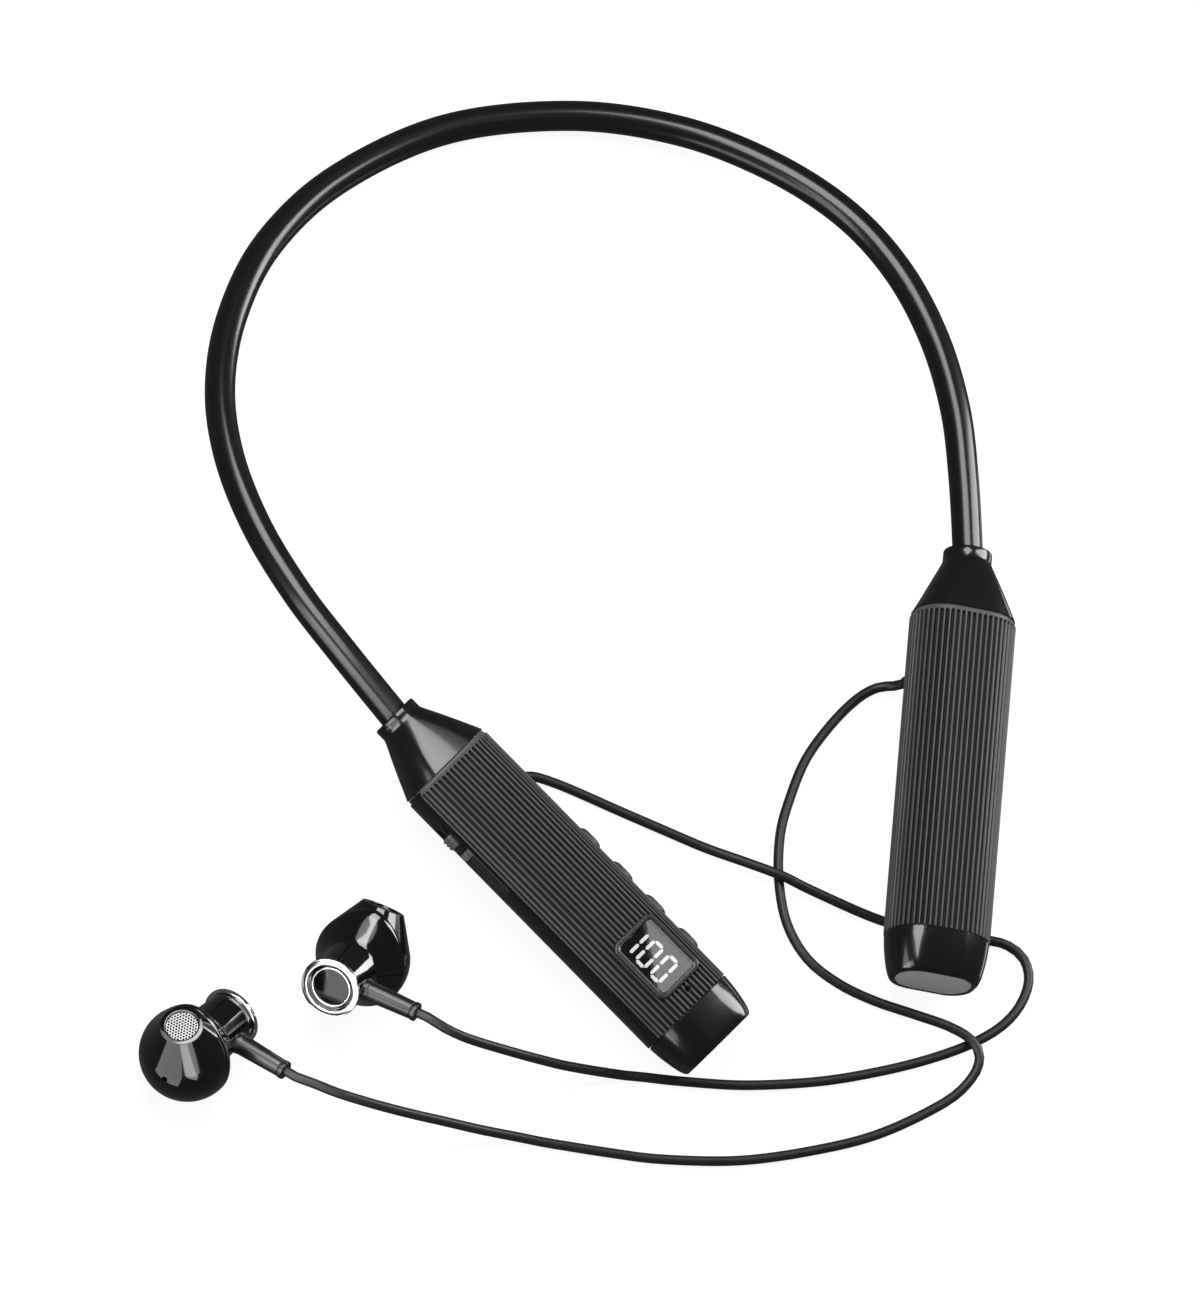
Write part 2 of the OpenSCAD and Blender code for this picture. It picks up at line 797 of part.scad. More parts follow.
module bud_front(pose) {
    color(piano_black) at_bud(pose) difference() {
        union() {
            intersection() {
                translate([0, 0, bulb_z]) sphere(bulb_r);
                translate([0, 0, bulb_z - 20]) cylinder(r = 20, h = 20);
            }
            intersection() {
                at_nozzle(pose[4]) cylinder(r1 = bulb_r - 0.3, r2 = nozzle_r, h = nozzle_reach);
                translate([0, 0, bulb_z - 20]) cylinder(r = 20, h = 20);
            }
        }
        translate([0, 0, bulb_z]) sphere(bulb_r - shell_t);
        at_nozzle(pose[4]) cylinder(r = nozzle_r - 0.6, h = nozzle_reach + 1);
        translate([vent_x, 0, bulb_z - 20]) cylinder(d = 1.2, h = 20, $fn = 24);
    }
}

module bud_grille(pose) {
    color(light_grey) at_bud(pose) at_nozzle(pose[4])
        translate([0, 0, nozzle_reach - 0.5]) cylinder(r = nozzle_r - 0.6, h = 0.3);
}

barrel_r = barrel_d / 2;
ring_t = 0.9;
ring_band = 1.1;
cup_r = ring_d / 2 - ring_band;
inner_ring_r = 3.75;
disc_r = 3.35;

module bud_rear(pose) {
    face = barrel_end - ring_t;
    color(piano_black) at_bud(pose) difference() {
        rotate_extrude() polygon([
            [0, bulb_z], [bulb_r, bulb_z], [bulb_r - 0.35, bulb_z + 1.2],
            [barrel_r + 0.45, 3.9], [barrel_r + 0.3, 4.5], [barrel_r - 0.35, face], [0, face],
        ]);
        rotate_extrude() polygon([
            [0, bulb_z - 1], [bulb_r - shell_t, bulb_z - 1], [bulb_r - shell_t, bulb_z],
            [barrel_r - 0.5, 3.4], [barrel_r - 1, 4.3], [barrel_r - 1.5, face - 1.6],
            [0, face - 1.6],
        ]);
        translate([0, 0, stem_z]) rotate([0, 90, 0]) cylinder(d = stem_root_d, h = 20);
        translate([0, 0, face - 0.4]) cylinder(r = inner_ring_r, h = 1);
    }
}

module bud_end_ring(pose) {
    color("white") at_bud(pose) translate([0, 0, barrel_end - ring_t]) difference() {
        cylinder(d = ring_d, h = ring_t);
        translate([0, 0, -1]) cylinder(r = cup_r, h = ring_t + 2);
    }
}

module bud_inner_ring(pose) {
    color("white") at_bud(pose) translate([0, 0, barrel_end - ring_t - 0.4]) difference() {
        cylinder(r = inner_ring_r, h = 0.9);
        translate([0, 0, -1]) cylinder(r = disc_r, h = 3);
    }
}

module bud_end_disc(pose) {
    color(piano_black) at_bud(pose)
        translate([0, 0, barrel_end - ring_t - 0.4]) cylinder(r = disc_r, h = 0.6);
}

module bud_magnet(pose) {
    color("gray") at_bud(pose)
        translate([0, 0, barrel_end - ring_t - 3.1]) cylinder(r = barrel_r - 1.65, h = 1.3);
}

module bud_driver(pose) {
    color("dimgray") at_bud(pose) translate([0, 0, bulb_z - 2.6]) cylinder(d = 13.4, h = 2.2);
}

stem_root = barrel_r - 0.9;

module bud_stem(pose) {
    run = stem_reach - stem_root;
    color(satin_grey) at_bud(pose) translate([stem_root, 0, stem_z]) rotate([0, 90, 0]) {
        cylinder(d1 = stem_root_d, d2 = stem_end_d, h = run - 0.9);
        translate([0, 0, run - 0.9]) cylinder(d = stem_end_d + 0.3, h = 0.9);
    }
}

// ---------- cords

cord_z = cord_d / 2;
over = 1.5 * cord_d + 0.15;

function grommet_tip(side) =
    table_point(leg_point(side, grommet_root + grommet_out * grommet_dir));
function grommet_out_dir(side) = rot_x(leg_dir(side, grommet_dir), tilt);
function stem_tip(pose) = bud_point(pose, [stem_reach, 0, stem_z]);

left_route = [
    [-11.3, -31.9, 2.4],
    [-9, -30.4, 1.1],
    [-5, -29.1, cord_z],
    [0, -32, cord_z],
    [10, -40.7, cord_z],
    [20.5, -49.8, cord_z],
    [27, -55.4, 2],
    [32.2, -59.9, over],
    [37, -64, 2],
    [47.5, -72.3, cord_z],
    [56, -76.7, cord_z],
    [64.8, -81, cord_z],
    [68, -83, cord_z],
    [69.8, -86.2, cord_z],
    [69, -90.3, cord_z],
    [65.5, -94.2, cord_z],
    [60.5, -96.9, cord_z],
    [53.7, -98.4, cord_z],
    [45, -98.9, cord_z],
    [35, -98.5, cord_z],
    [24, -97.2, cord_z],
    [11, -94.2, cord_z],
    [0, -90.3, cord_z],
    [-9.5, -86.5, 1],
    [-20.2, -83.5, 5.1],
    [-26.3, -82, 8.7],
    [-32.1, -80.4, 12.2],
    [-39.5, -77.9, 16.2],
    [-42.8, -76.3, 17.6],
    [-45.4, -74.4, 18.4],
];

right_route = [
    [66.3, -32, 2.4],
    [63.8, -31.1, 1.1],
    [59.5, -32, cord_z],
    [53, -35.2, cord_z],
    [46, -40, cord_z],
    [40.3, -46, cord_z],
    [35.8, -52, cord_z],
    [32.2, -59.9, cord_z],
    [30.4, -68, cord_z],
    [31.4, -75.2, cord_z],
    [35, -81, cord_z],
    [40, -85.9, 1],
    [46, -90.7, 1.8],
    [50.7, -94.6, 2.5],
    [53.6, -98.2, over],
    [53.9, -101.6, 2.5],
    [51.2, -104.7, 1.6],
    [45, -107.3, cord_z],
    [32, -109.4, cord_z],
    [20, -109.2, cord_z],
    [5, -107.2, cord_z],
    [-9, -103, cord_z],
    [-18.3, -99, cord_z],
    [-27.2, -94.8, cord_z],
    [-33.6, -91.9, 1.7],
    [-40.3, -89.5, 3.8],
    [-47.1, -87.1, 6.5],
    [-53.5, -84.9, 9.1],
    [-60.5, -82.1, 11.7],
    [-66.6, -78.8, 13.1],
    [-70, -76.1, 13.2],
];

cord_spacing = 5.2;
lead_in = 2;
function cord_path(side, route, pose) =
    let (
        tip = grommet_tip(side),
        end = stem_tip(pose),
        path = curve(concat(
            [tip, tip + lead_in * unit(grommet_out_dir(side))],
            route,
            [end + lead_in * bud_dir(pose, [1, 0, 0]), end]
        ), cord_spacing)
    )
    [for (p = path) [p[0], p[1], max(p[2], cord_z)]];

module cord(side, route, pose) {
    color(satin_grey) tube(cord_path(side, route, pose), cord_d, 8,
        grommet_out_dir(side), -bud_dir(pose, [1, 0, 0]));
}

// ---------- nodes

band_tube();
memory_wire();
band_wires();
on_left_leg() ferrule();  // left_ferrule
left_front_shell();
left_back_shell();
on_left_leg() end_cap();  // left_end_cap
on_left_leg() end_plate();  // left_end_plate
on_left_leg() cord_grommet();  // left_cord_grommet
left_battery();
left_circuit_board();
on_right_leg() ferrule();  // right_ferrule
right_front_shell();
right_back_shell();
on_right_leg() end_cap();  // right_end_cap
on_right_leg() end_plate();  // right_end_plate
on_right_leg() cord_grommet();  // right_cord_grommet
right_battery();
right_circuit_board();
display_bezel();
display_window();
display_digits();
display_module();
microphone();
button(0);  // volume_up_button
button(1);  // play_button
button(2);  // volume_down_button
button(3);  // mode_button
tact_switches();
power_switch_knob();
power_switch_housing();
usb_socket();
port_flap();
port_flap_tab();
cord(-1, left_route, left_bud_pose);  // left_cord
cord(1, right_route, right_bud_pose);  // right_cord
bud_front(left_bud_pose);  // left_bud_front
bud_grille(left_bud_pose);  // left_bud_grille
bud_rear(left_bud_pose);  // left_bud_rear
bud_end_ring(left_bud_pose);  // left_bud_end_ring
bud_inner_ring(left_bud_pose);  // left_bud_inner_ring
bud_end_disc(left_bud_pose);  // left_bud_end_disc
bud_stem(left_bud_pose);  // left_bud_stem
bud_driver(left_bud_pose);  // left_bud_driver
bud_magnet(left_bud_pose);  // left_bud_magnet
bud_front(right_bud_pose);  // right_bud_front
bud_grille(right_bud_pose);  // right_bud_grille
bud_rear(right_bud_pose);  // right_bud_rear
bud_end_ring(right_bud_pose);  // right_bud_end_ring
bud_inner_ring(right_bud_pose);  // right_bud_inner_ring
bud_end_disc(right_bud_pose);  // right_bud_end_disc
bud_stem(right_bud_pose);  // right_bud_stem
bud_driver(right_bud_pose);  // right_bud_driver
bud_magnet(right_bud_pose);  // right_bud_magnet
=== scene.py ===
import bpy
import bmesh
import json
import math
from mathutils import Matrix, Vector


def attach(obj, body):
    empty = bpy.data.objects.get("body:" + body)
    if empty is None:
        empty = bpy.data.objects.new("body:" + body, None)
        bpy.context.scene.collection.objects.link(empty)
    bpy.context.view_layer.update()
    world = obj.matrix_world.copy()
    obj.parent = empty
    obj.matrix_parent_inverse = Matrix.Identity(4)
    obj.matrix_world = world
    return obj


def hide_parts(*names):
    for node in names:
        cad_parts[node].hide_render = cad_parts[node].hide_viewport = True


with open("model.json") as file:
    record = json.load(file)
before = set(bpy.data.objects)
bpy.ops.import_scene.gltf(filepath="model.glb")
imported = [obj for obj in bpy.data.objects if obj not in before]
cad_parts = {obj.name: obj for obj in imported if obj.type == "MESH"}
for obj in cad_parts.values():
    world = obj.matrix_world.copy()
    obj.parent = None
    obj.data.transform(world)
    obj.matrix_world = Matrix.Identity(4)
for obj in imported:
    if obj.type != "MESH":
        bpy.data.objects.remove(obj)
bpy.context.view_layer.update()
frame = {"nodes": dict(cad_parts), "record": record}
print("frame loaded:", len(frame["nodes"]), "nodes")

# lengths are millimetres in here, turned into metres by toMetres when a piece is made
toMetres = Matrix.Scale(0.001, 4)

neckband = {
    "halfSpan": 56.9,
    "toeIn": 26.2,
    "slope": 4.7,
    "middle": (27.5, -15.5, 13.396),
}
pod = {
    "ferruleEnd": 12.7,
    "sleeveEnd": 72.8,
    "length": 80.8,
    "width": 18.8,
    "thickness": 13.8,
    "edgeRadius": 6.5,
    "rise": 0.4,
    "wall": 1.2,
    "mouth": 8.6,
}


def turn(degrees, axis):
    return Matrix.Rotation(math.radians(degrees), 4, axis)


onTable = Matrix.Translation(neckband["middle"]) @ turn(neckband["slope"], "X")
legPlace = (
    Matrix.Translation((-neckband["halfSpan"], 0, 0))
    @ turn(neckband["toeIn"], "Z")
    @ turn(90, "X")
)
mirrorX = Matrix.Scale(-1, 4, (1, 0, 0))
leg = {"left": onTable @ legPlace, "right": onTable @ mirrorX @ legPlace}

budPose = {
    "left": {"centre": (-50.8, -55.4, 8.7), "yaw": -153, "rise": 29, "roll": 158.5, "side": 1},
    "right": {"centre": (-88.2, -63.1, 8.8), "yaw": 23.5, "rise": -14.5, "roll": 21.5, "side": -1},
}
bulbZ = -1


def budPlace(pose):
    return (
        Matrix.Translation(pose["centre"])
        @ turn(pose["yaw"], "Z")
        @ turn(90 - pose["rise"], "Y")
        @ turn(-90 - pose["roll"], "Z")
        @ Matrix.Translation((0, 0, -bulbZ))
    )


bud = {side: budPlace(pose) for side, pose in budPose.items()}

# camera first: a long lens looking down on the pods from the front left
camera = {
    "target": (0.0275, -0.0155, 0.0134),
    "across": -0.01426,
    "upward": -0.00403,
    "right": (0.884, -0.3706, 0.2846),
    "up": (0.249, 0.8896, 0.3832),
    "height": 0.2298,
    "lens": 1200,
    "sensor": 36,
}


def makeCamera(c):
    right = Vector(c["right"]).normalized()
    up = Vector(c["up"])
    up = (up - right * up.dot(right)).normalized()
    back = right.cross(up)
    data = bpy.data.cameras.new("camera")
    data.sensor_width = c["sensor"]
    data.lens = c["lens"]
    distance = c["height"] * c["lens"] / c["sensor"]
    data.clip_start = 0.1
    data.clip_end = 3 * distance
    ob = bpy.data.objects.new("camera", data)
    bpy.context.collection.objects.link(ob)
    spot = Vector(c["target"]) + right * c["across"] + up * c["upward"] + back * distance
    ob.matrix_world = Matrix((
        (right.x, up.x, back.x, spot.x),
        (right.y, up.y, back.y, spot.y),
        (right.z, up.z, back.z, spot.z),
        (0, 0, 0, 1),
    ))
    bpy.context.scene.camera = ob
    return back


towardCamera = makeCamera(camera)
print("camera placed")


# ways of making meshes

def curvePoint(p, i, t):
    a, b, c, d = p[max(i - 1, 0)], p[i], p[i + 1], p[min(i + 2, len(p) - 1)]
    return 0.5 * (
        2 * b + (c - a) * t + (2 * a - 5 * b + 4 * c - d) * t * t
        + (3 * b - a - 3 * c + d) * t * t * t
    )


def smoothCurve(points, spacing):
    p = [Vector(q) for q in points]
    out = []
    for i in range(len(p) - 1):
        steps = max(1, round((p[i + 1] - p[i]).length / spacing))
        out += [curvePoint(p, i, k / steps) for k in range(steps)]
    return out + [p[-1]]


def ringStrip(bm, rows, closeStart=True, closeEnd=True, around=True):
    # rows of points, each row joined to the next
    verts = [[bm.verts.new(q) for q in row] for row in rows]
    n = len(rows[0])
    for a, b in zip(verts, verts[1:]):
        for k in range(n if around else n - 1):
            j = (k + 1) % n
            bm.faces.new((a[k], a[j], b[j], b[k]))
    if closeStart:
        bm.faces.new(list(reversed(verts[0])))
    if closeEnd:
        bm.faces.new(verts[-1])
    return verts


def tubeMesh(path, radius, sides, first=None, last=None):
    bm = bmesh.new()
    rows = []
    side = None
    for i, p in enumerate(path):
        d = path[min(i + 1, len(path) - 1)] - path[max(i - 1, 0)]
        if i == 0 and first is not None:
            d = first
        if i == len(path) - 1 and last is not None:
            d = last
        d = d.normalized()
        side = d.cross(Vector((0, 0, 1))).normalized()
        up = side.cross(d)
        r = radius(i) if callable(radius) else radius
        rows.append([
            p + r * (math.cos(a) * side + math.sin(a) * up)
            for a in (2 * math.pi * (k + 0.5) / sides for k in range(sides))
        ])
    ringStrip(bm, rows)
    return bm


def lathe(profile, sides, closed=False):
    # (radius, height) points turned round z; points at radius 0 close the ends
    bm = bmesh.new()
    rows = []
    for r, z in profile:
        if r < 1e-6:
            rows.append([bm.verts.new((0, 0, z))])
        else:
            rows.append([
                bm.verts.new((r * math.cos(a), r * math.sin(a), z))
                for a in (2 * math.pi * k / sides for k in range(sides))
            ])
    pairs = list(zip(rows, rows[1:]))
    if closed:
        pairs.append((rows[-1], rows[0]))
    for a, b in pairs:
        for k in range(sides):
            j = (k + 1) % sides
            if len(a) == 1 and len(b) > 1:
                bm.faces.new((a[0], b[j], b[k]))
            elif len(b) == 1 and len(a) > 1:
                bm.faces.new((a[k], a[j], b[0]))
            elif len(a) > 1:
                bm.faces.new((a[k], a[j], b[j], b[k]))
    return bm


def rounded(profile, radius, steps=4):
    # the same profile with its inner corners rounded
    out = [profile[0]]
    for a, b, c in zip(profile, profile[1:], profile[2:]):
        p, q, s = Vector(a), Vector(b), Vector(c)
        u, v = p - q, s - q
        cut = min(radius, u.length * 0.45, v.length * 0.45)
        start, end = q + u.normalized() * cut, q + v.normalized() * cut
        for k in range(steps + 1):
            t = k / steps
            m = start * (1 - t) ** 2 + q * 2 * t * (1 - t) + end * t * t
            out.append((m.x, m.y))
    return out + [profile[-1]]


def stadium(length, width, steps=12):
    # points round a pill, long side along y
    r, h = width / 2, (length - width) / 2
    top = [(r * math.cos(a), h + r * math.sin(a)) for a in (math.pi * k / steps for k in range(steps + 1))]
    return top + [(-x, -y) for x, y in top]


def roundRect(hw, ht, r, rise=0.0, steps=10):
    out = []
    for q, (sx, sy) in enumerate(((1, 1), (-1, 1), (-1, -1), (1, -1))):
        for k in range(steps + 1):
            a = math.pi / 2 * (q + k / steps)
            out.append((sx * (hw - r) + r * math.cos(a), sy * (ht - r) + r * math.sin(a) + rise))
    return out


def slab(outline, z0, z1, edge=0.0, steps=3):
    # an outline (a function of how far it is drawn in) raised from z0 to z1 with a rounded top
    bm = bmesh.new()
    rows = [[(x, y, z0) for x, y in outline(0)]]
    if edge > 0:
        for k in range(steps + 1):
            a = math.pi / 2 * k / steps
            rows.append([
                (x, y, z1 - edge + edge * math.sin(a)) for x, y in outline(edge * (1 - math.cos(a)))
            ])
    else:
        rows.append([(x, y, z1) for x, y in outline(0)])
    ringStrip(bm, rows)
    return bm


def meshOf(bm, place, name):
    bmesh.ops.transform(bm, matrix=toMetres @ place, verts=bm.verts)
    bmesh.ops.recalc_face_normals(bm, faces=bm.faces)
    mesh = bpy.data.meshes.new(name)
    bm.to_mesh(mesh)
    bm.free()
    return mesh


def applied(ob):
    # the object with its modifiers made into its mesh
    graph = bpy.context.evaluated_depsgraph_get()
    done = bpy.data.meshes.new_from_object(
        ob.evaluated_get(graph), preserve_all_data_layers=True, depsgraph=graph
    )
    old = ob.data
    ob.modifiers.clear()
    ob.data = done
    bpy.data.meshes.remove(old)


def cutFrom(ob, cutters):
    # takes closed meshes out of an object
    for cutter in cutters:
        tool = bpy.data.objects.new("cutter", cutter)
        bpy.context.collection.objects.link(tool)
        m = ob.modifiers.new("cut", "BOOLEAN")
        m.operation = "DIFFERENCE"
        m.solver = "EXACT"
        m.object = tool
        bpy.context.view_layer.update()
        applied(ob)
        bpy.data.objects.remove(tool)


def addPiece(name, bm, place, finish, node, body="neckband", bevel=0.0, cutters=(), sharp=32):
    # a finished piece that rides on a body and stands in for a CAD node
    mesh = meshOf(bm, place, name)
    ob = bpy.data.objects.new(name, mesh)
    bpy.context.collection.objects.link(ob)
    if cutters:
        cutFrom(ob, [meshOf(c, place, name + "-cutter") for c in cutters])
    if bevel > 0:
        m = ob.modifiers.new("bevel", "BEVEL")
        m.width = bevel * 0.001
        m.segments = 2
        m.limit_method = "ANGLE"
        m.angle_limit = math.radians(40)
        bpy.context.view_layer.update()
        applied(ob)
    ob.data.shade_smooth()
    ob.data.set_sharp_from_angle(angle=math.radians(sharp))
    finishes = finish if isinstance(finish, tuple) else (finish,)
    which = [min(face.material_index, len(finishes) - 1) for face in ob.data.polygons]
    ob.data.materials.clear()
    for f in finishes:
        ob.data.materials.append(f)
    ob.data.polygons.foreach_set("material_index", which)
    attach(ob, body)
    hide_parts(node)
    return ob


# finishes: sums of sockets are written as expressions

class Knot:
    def __init__(self, finish, socket):
        self.finish, self.socket = finish, socket

    def sum(self, operation, a, b):
        return self.finish.node("ShaderNodeMath", {"operation": operation}, {0: a, 1: b})

    def __add__(self, other):
        return self.sum("ADD", self, other)

    def __radd__(self, other):
        return self.sum("ADD", other, self)

    def __sub__(self, other):
        return self.sum("SUBTRACT", self, other)

    def __rsub__(self, other):
        return self.sum("SUBTRACT", other, self)

    def __mul__(self, other):
        return self.sum("MULTIPLY", self, other)

    def __rmul__(self, other):
        return self.sum("MULTIPLY", other, self)

    def __pow__(self, other):
        return self.sum("POWER", self, other)

    def __gt__(self, other):
        return self.sum("GREATER_THAN", self, other)


class Finish:
    def __init__(self, name, **sockets):
        self.material = bpy.data.materials.new(name)
        self.material.use_nodes = True
        self.tree = self.material.node_tree
        self.tree.nodes.clear()
        self.out = self.tree.nodes.new("ShaderNodeOutputMaterial")
        self.shader = self.tree.nodes.new("ShaderNodeBsdfPrincipled")
        self.tree.links.new(self.shader.outputs[0], self.out.inputs[0])
        self.set(**sockets)

    def plug(self, socket, value):
        if isinstance(value, Knot):
            self.tree.links.new(value.socket, socket)
        elif hasattr(value, "__len__") and len(value) == 3 and len(socket.default_value) == 4:
            socket.default_value = (*value, 1)
        else:
            socket.default_value = value

    def set(self, **sockets):
        # Principled sockets by name, with _ for a space
        for key, value in sockets.items():
            self.plug(self.shader.inputs[key.replace("_", " ")], value)
        return self

    def node(self, kind, settings=None, sockets=None, output=0):
        n = self.tree.nodes.new(kind)
        for key, value in (settings or {}).items():
            if key == "stops":
                ramp = n.color_ramp
                while len(ramp.elements) < len(value):
                    ramp.elements.new(0.5)
                for e, (position, colour) in zip(ramp.elements, value):
                    e.position, e.color = position, (*colour, 1)
            else:
                setattr(n, key, value)
        for key, value in (sockets or {}).items():
            self.plug(n.inputs[key], value)
        return Knot(self, n.outputs[output])

    def place(self):
        # where a point is on the object, in metres
        return self.node("ShaderNodeTexCoord", output=3)

    def noise(self, scale, detail=3.0, roughness=0.5, at=None):
        return self.node(
            "ShaderNodeTexNoise", None,
            {"Vector": at or self.place(), "Scale": scale, "Detail": detail, "Roughness": roughness},
        )

    def ramp(self, value, stops):
        return self.node("ShaderNodeValToRGB", {"stops": stops}, {0: value})

    def blend(self, factor, a, b):
        return self.node("ShaderNodeMix", {"data_type": "RGBA"}, {0: factor, 6: a, 7: b}, output=2)

    def bump(self, height, depth, strength=1.0, over=None):
        sockets = {"Height": height, "Distance": depth, "Strength": strength}
        if over:
            sockets["Normal"] = over
        return self.node("ShaderNodeBump", None, sockets)


def grey(v, tint=0.0):
    return (v, v, v * (1 + tint))


def mouldedFinish(name, look):
    # moulded plastic or rubber: faint colour drift, uneven polish, fine grain and soft waves
    f = Finish(name)
    tint = look.get("tint", 0.02)
    low, high = grey(look["colour"] * 0.86, tint), grey(look["colour"] * 1.14, tint)
    drift = f.noise(60, 2)
    smudge = f.noise(140, 4, 0.6)
    grain = f.noise(look["grainScale"], 2, 0.6)
    wave = f.noise(220, 1)
    specks = f.node("ShaderNodeTexVoronoi", None, {"Vector": f.place(), "Scale": look["grainScale"] * 0.6})
    f.set(
        Base_Color=f.blend(drift, low, high),
        Roughness=look["roughness"] + look["unevenness"] * (smudge - 0.5)
        + look["unevenness"] * 0.4 * (specks - 0.5),
        Normal=f.bump(grain, look["grainDepth"], 0.7, f.bump(wave, look.get("waveDepth", 0.000004), 0.5)),
        IOR=1.5,
        Coat_Weight=look.get("coat", 0.0),
        Coat_Roughness=look.get("coatRoughness", 0.04),
        Specular_IOR_Level=0.5,
    )
    return f.material


moulded = {
    "bandBlack": {
        "colour": 0.006, "roughness": 0.24, "unevenness": 0.05, "grainScale": 5200,
        "grainDepth": 0.000004, "coat": 0.35, "coatRoughness": 0.16,
    },
    "podGloss": {
        "colour": 0.006, "roughness": 0.2, "unevenness": 0.06, "grainScale": 4200, "grainDepth": 0.000002,
        "coat": 0.6, "coatRoughness": 0.07,
    },
    "ribGrey": {
        "colour": 0.085, "roughness": 0.42, "unevenness": 0.08, "grainScale": 6000,
        "grainDepth": 0.000008, "tint": 0.0,
    },
    # painted shade: a near-black finish laid on the bottoms of the rib grooves
    "ribPaintedShade": {
        "colour": 0.004, "roughness": 0.6, "unevenness": 0.08, "grainScale": 6000, "grainDepth": 0.000004,
        "tint": 0.0,
    },
    "buttonGrey": {
        "colour": 0.04, "roughness": 0.4, "unevenness": 0.08, "grainScale": 6000, "grainDepth": 0.000006,
        "tint": 0.0,
    },
    "bezelGrey": {
        "colour": 0.03, "roughness": 0.28, "unevenness": 0.06, "grainScale": 5200, "grainDepth": 0.000003,
        "coat": 0.3, "coatRoughness": 0.1,
    },
    "knobGrey": {
        "colour": 0.12, "roughness": 0.36, "unevenness": 0.08, "grainScale": 5200, "grainDepth": 0.000006,
    },
    "flapBlack": {
        "colour": 0.014, "roughness": 0.5, "unevenness": 0.08, "grainScale": 6500, "grainDepth": 0.00001,
    },
    "tabGrey": {
        "colour": 0.14, "roughness": 0.45, "unevenness": 0.08, "grainScale": 6500, "grainDepth": 0.000008,
    },
    "plateGrey": {
        "colour": 0.36, "roughness": 0.35, "unevenness": 0.08, "grainScale": 4800, "grainDepth": 0.000004,
    },
    "cordGrey": {
        "colour": 0.014, "roughness": 0.42, "unevenness": 0.08, "grainScale": 6500,
        "grainDepth": 0.000006, "tint": 0.0,
    },
    "reliefGrey": {
        "colour": 0.012, "roughness": 0.3, "unevenness": 0.06, "grainScale": 5200, "grainDepth": 0.000004,
        "coat": 0.3, "coatRoughness": 0.14,
    },
    "pianoBlack": {
        "colour": 0.003, "roughness": 0.1, "unevenness": 0.04, "grainScale": 3000,
        "grainDepth": 0.0000001, "coat": 1.0, "coatRoughness": 0.03, "waveDepth": 0.000001,
    },
    "moduleDark": {
        "colour": 0.004, "roughness": 0.35, "unevenness": 0.06, "grainScale": 5200,
        "grainDepth": 0.000003,
    },
    "boardGreen": {
        "colour": 0.03, "roughness": 0.4, "unevenness": 0.1, "grainScale": 3000, "grainDepth": 0.00001,
    },
}
finish = {name: mouldedFinish(name, look) for name, look in moulded.items()}


def metalFinish(name, colour, roughness, grain):
    f = Finish(name, Metallic=1.0)
    smudge = f.noise(220, 4, 0.6)
    fine = f.noise(grain, 3, 0.6)
    f.set(
        Base_Color=f.blend(smudge, tuple(c * 0.93 for c in colour), colour),
        Roughness=roughness + 0.1 * (smudge - 0.5) * roughness + 0.2 * roughness * fine,
        Normal=f.bump(fine, 0.000003, 0.4),
    )
    return f.material


finish["chrome"] = metalFinish("chrome", (0.93, 0.93, 0.94), 0.09, 2600)
finish["meshSteel"] = metalFinish("meshSteel", (0.42, 0.43, 0.44), 0.34, 5000)
finish["plainSteel"] = metalFinish("plainSteel", (0.6, 0.6, 0.62), 0.3, 3000)
finish["foil"] = metalFinish("foil", (0.78, 0.78, 0.8), 0.35, 1500)


def glassFinish():
    f = Finish("displayGlass", IOR=1.6, Coat_Weight=1.0, Coat_Roughness=0.0)
    smudge = f.noise(260, 4, 0.6)
    f.set(
        Base_Color=f.blend(smudge, (0.003, 0.003, 0.004), (0.006, 0.006, 0.007)),
        Roughness=0.01 + 0.01 * smudge,
        Alpha=0.5 + 0.03 * smudge,
    )
    return f.material


def litFinish():
    f = Finish("litBars", Roughness=0.4)
    cell = f.noise(900, 2)
    f.set(
        Base_Color=f.blend(cell, (0.85, 0.88, 0.95), (0.98, 0.98, 1.0)),
        Emission_Color=f.blend(cell, (0.86, 0.92, 1.0), (1.0, 1.0, 1.0)),
        Emission_Strength=3.0,
    )
    return f.material


finish["displayGlass"] = glassFinish()
finish["litBars"] = litFinish()
print("finishes made:", len(finish))

slotFinish = {
    "band_silicone": "bandBlack", "spring_steel": "plainSteel", "wire_bundle": "cordGrey",
    "gloss_black": "podGloss", "ribbed_grey": "ribGrey", "pale_plate": "plateGrey",
    "grommet_rubber": "reliefGrey", "battery_foil": "foil", "circuit_board": "boardGreen",
    "bezel_grey": "bezelGrey", "display_glass": "displayGlass", "display_white": "litBars",
    "dark_module": "moduleDark", "button_grey": "buttonGrey", "knob_grey": "knobGrey",
    "steel_parts": "plainSteel", "flap_rubber": "flapBlack", "tab_grey": "tabGrey",
    "cord_rubber": "cordGrey", "bud_black": "pianoBlack", "grille_steel": "meshSteel",
    "chrome_ring": "chrome", "magnet_steel": "plainSteel",
}
nodeFinish = {}
for part in frame["record"]["subparts"]:
    nodeFinish[part["node"]] = finish[slotFinish[part["material_slot"]]]
    solid = frame["nodes"][part["node"]].data
    solid.materials.clear()
    # painted shade: the microphone behind its hole takes the near-black module finish in place of its own, so
    # the hole reads dark
    if part["node"] == "microphone":
        nodeFinish[part["node"]] = finish["moduleDark"]
    solid.materials.append(nodeFinish[part["node"]])


